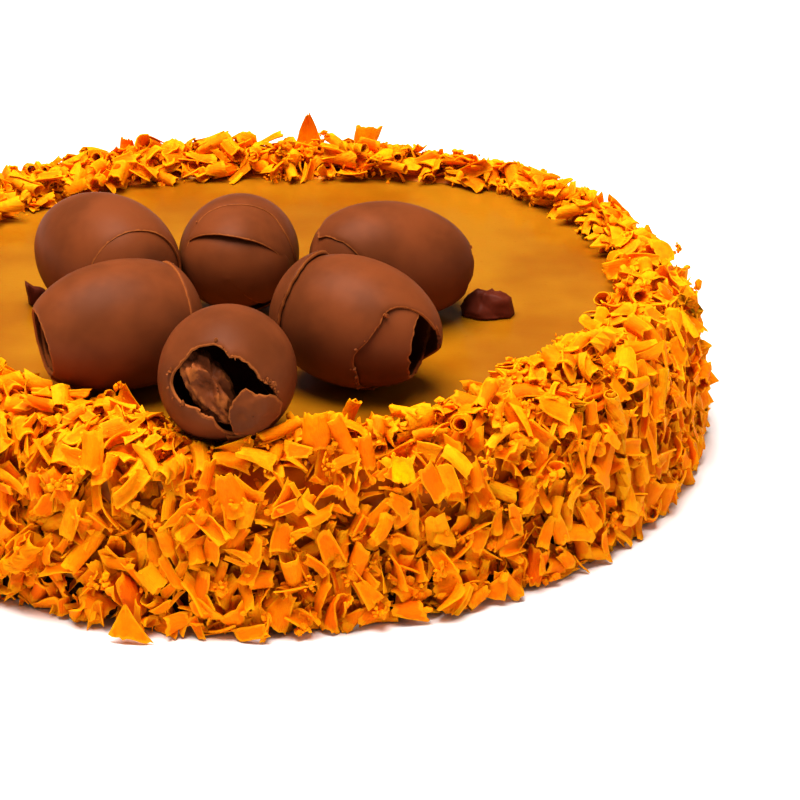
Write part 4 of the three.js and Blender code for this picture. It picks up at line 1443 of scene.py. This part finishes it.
# The soft lights: place, what each is aimed at, and size, in metres.
SOFT_LIGHTS = {
    "top_light": ((-0.15, -0.1, 1.3), (0, 0, 0), (1.1, 0.9)),
    "left_light": ((-0.9, -1.1, 0.7), (0, 0, 0.03), (0.9, 0.9)),
    "right_light": ((1.3, -0.8, 0.7), (0, 0, 0.03), (0.9, 0.9)),
}
FLOOR_HALF = 6000.0            # half of the floor's side, in millimetres
FLOOR_STEPS = 12               # grid steps along a side


def aim(thing, target):
    way = Vector(target) - thing.location
    thing.rotation_mode = "QUATERNION"
    thing.rotation_quaternion = way.to_track_quat("-Z", "Y")


def add_camera(stage):
    """A camera that looks at the cake from the front, a little past its middle."""
    back = Vector((0, -math.cos(stage.elevation), math.sin(stage.elevation)))
    data = bpy.data.cameras.new("camera")
    data.sensor_width = 36.0
    data.lens = stage.lens
    data.clip_start = 0.01
    data.clip_end = 50.0
    camera = bpy.data.objects.new("camera", data)
    bpy.context.scene.collection.objects.link(camera)
    camera.location = back * stage.distance
    down = stage.elevation - stage.pitch
    look = Vector((math.sin(stage.yaw) * math.cos(down), math.cos(stage.yaw) * math.cos(down),
                   -math.sin(down)))
    aim(camera, camera.location + look)
    bpy.context.scene.camera = camera


def add_soft_light(name, place, target, size, watts):
    data = bpy.data.lights.new(name, "AREA")
    data.shape = "RECTANGLE"
    data.size, data.size_y = size
    data.energy = watts
    lamp = bpy.data.objects.new(name, data)
    bpy.context.scene.collection.objects.link(lamp)
    lamp.location = place
    aim(lamp, target)


def add_floor(stage):
    line = np.linspace(-FLOOR_HALF, FLOOR_HALF, FLOOR_STEPS + 1)
    x, y = np.meshgrid(line, line, indexing="ij")
    points = np.stack([x, y, np.zeros(x.shape)], -1).reshape(-1, 3)
    row = FLOOR_STEPS + 1
    faces = np.array([(i * row + j, (i + 1) * row + j, (i + 1) * row + j + 1, i * row + j + 1)
                      for i, j in product(range(FLOOR_STEPS), repeat=2)])
    floor = mesh_piece("floor", points, [faces], floor_material(stage), crease=None)


def build_stage(context):
    """The camera, the lights, plain surroundings and the floor."""
    stage = context.scene.cake_stage
    add_camera(stage)
    for name, (place, target, size) in SOFT_LIGHTS.items():
        add_soft_light(name, place, target, size, getattr(stage, name))
    world = bpy.data.worlds.new("surroundings")
    bpy.context.scene.world = world
    world.use_nodes = True
    background = next(n for n in world.node_tree.nodes if n.type == "BACKGROUND")
    background.inputs["Color"].default_value = (1, 1, 1, 1)
    background.inputs["Strength"].default_value = stage.sky
    bpy.context.scene.view_settings.view_transform = "Standard"
    bpy.context.scene.view_settings.gamma = stage.contrast
    add_floor(stage)


# ---- Operators and panel ----


class CAKE_OT_stage(bpy.types.Operator):
    """Make the camera, the lights and the floor"""

    bl_idname = "cake.stage"
    bl_label = "Set the Stage"

    def execute(self, context):
        build_stage(context)
        return {"FINISHED"}


class CAKE_OT_sponge(bpy.types.Operator):
    """Make the dark sponge foot"""

    bl_idname = "cake.sponge"
    bl_label = "Bake the Sponge Foot"

    def execute(self, context):
        build_sponge(context)
        return {"FINISHED"}


class CAKE_OT_mousse(bpy.types.Operator):
    """Make the mousse under the shavings"""

    bl_idname = "cake.mousse"
    bl_label = "Set the Mousse"

    def execute(self, context):
        build_mousse(context)
        return {"FINISHED"}


class CAKE_OT_glaze(bpy.types.Operator):
    """Pour the caramel glaze inside the rim"""

    bl_idname = "cake.glaze"
    bl_label = "Pour the Glaze"

    def execute(self, context):
        build_glaze(context)
        return {"FINISHED"}


class CAKE_OT_shavings(bpy.types.Operator):
    """Heap caramel shavings and crumbs on the side and the rim"""

    bl_idname = "cake.shavings"
    bl_label = "Heap the Shavings"

    def execute(self, context):
        build_shavings(context)
        return {"FINISHED"}


class CAKE_OT_curls(bpy.types.Operator):
    """Roll the six chocolate curls"""

    bl_idname = "cake.curls"
    bl_label = "Roll the Curls"

    def execute(self, context):
        build_curls(context)
        return {"FINISHED"}


class CAKE_OT_bits(bpy.types.Operator):
    """Break off the chunk and the splinter of dark chocolate"""

    bl_idname = "cake.bits"
    bl_label = "Break the Chocolate Bits"

    def execute(self, context):
        build_bits(context)
        return {"FINISHED"}


GROUPS = {
    "cake_sizes": CakeSizes,
    "cake_shavings": ShavingHeap,
    "cake_colours": CakeColours,
    "cake_stage": StageSettings,
}
OPERATORS = (CAKE_OT_stage, CAKE_OT_sponge, CAKE_OT_mousse, CAKE_OT_glaze, CAKE_OT_shavings,
             CAKE_OT_curls, CAKE_OT_bits)


class CAKE_PT_panel(bpy.types.Panel):
    """The cake's settings and steps"""

    bl_idname = "CAKE_PT_panel"
    bl_label = "Caramel Cake"
    bl_space_type = "VIEW_3D"
    bl_region_type = "UI"
    bl_category = "Cake"

    def draw(self, context):
        for label, group in GROUPS.items():
            box = self.layout.box()
            for prop in group.__annotations__:
                box.prop(getattr(context.scene, label), prop)
        for step in OPERATORS:
            self.layout.operator(step.bl_idname)


CLASSES = (*GROUPS.values(), *OPERATORS, CAKE_PT_panel)


def register():
    for kind in CLASSES:
        bpy.utils.register_class(kind)
    for label, group in GROUPS.items():
        setattr(bpy.types.Scene, label, PointerProperty(type=group))


def unregister():
    for label in GROUPS:
        delattr(bpy.types.Scene, label)
    for kind in reversed(CLASSES):
        bpy.utils.unregister_class(kind)


def main():
    register()
    bpy.ops.cake.stage()
    bpy.ops.cake.sponge()
    bpy.ops.cake.mousse()
    bpy.ops.cake.glaze()
    bpy.ops.cake.shavings()
    bpy.ops.cake.curls()
    bpy.ops.cake.bits()


if __name__ == "__main__":
    main()
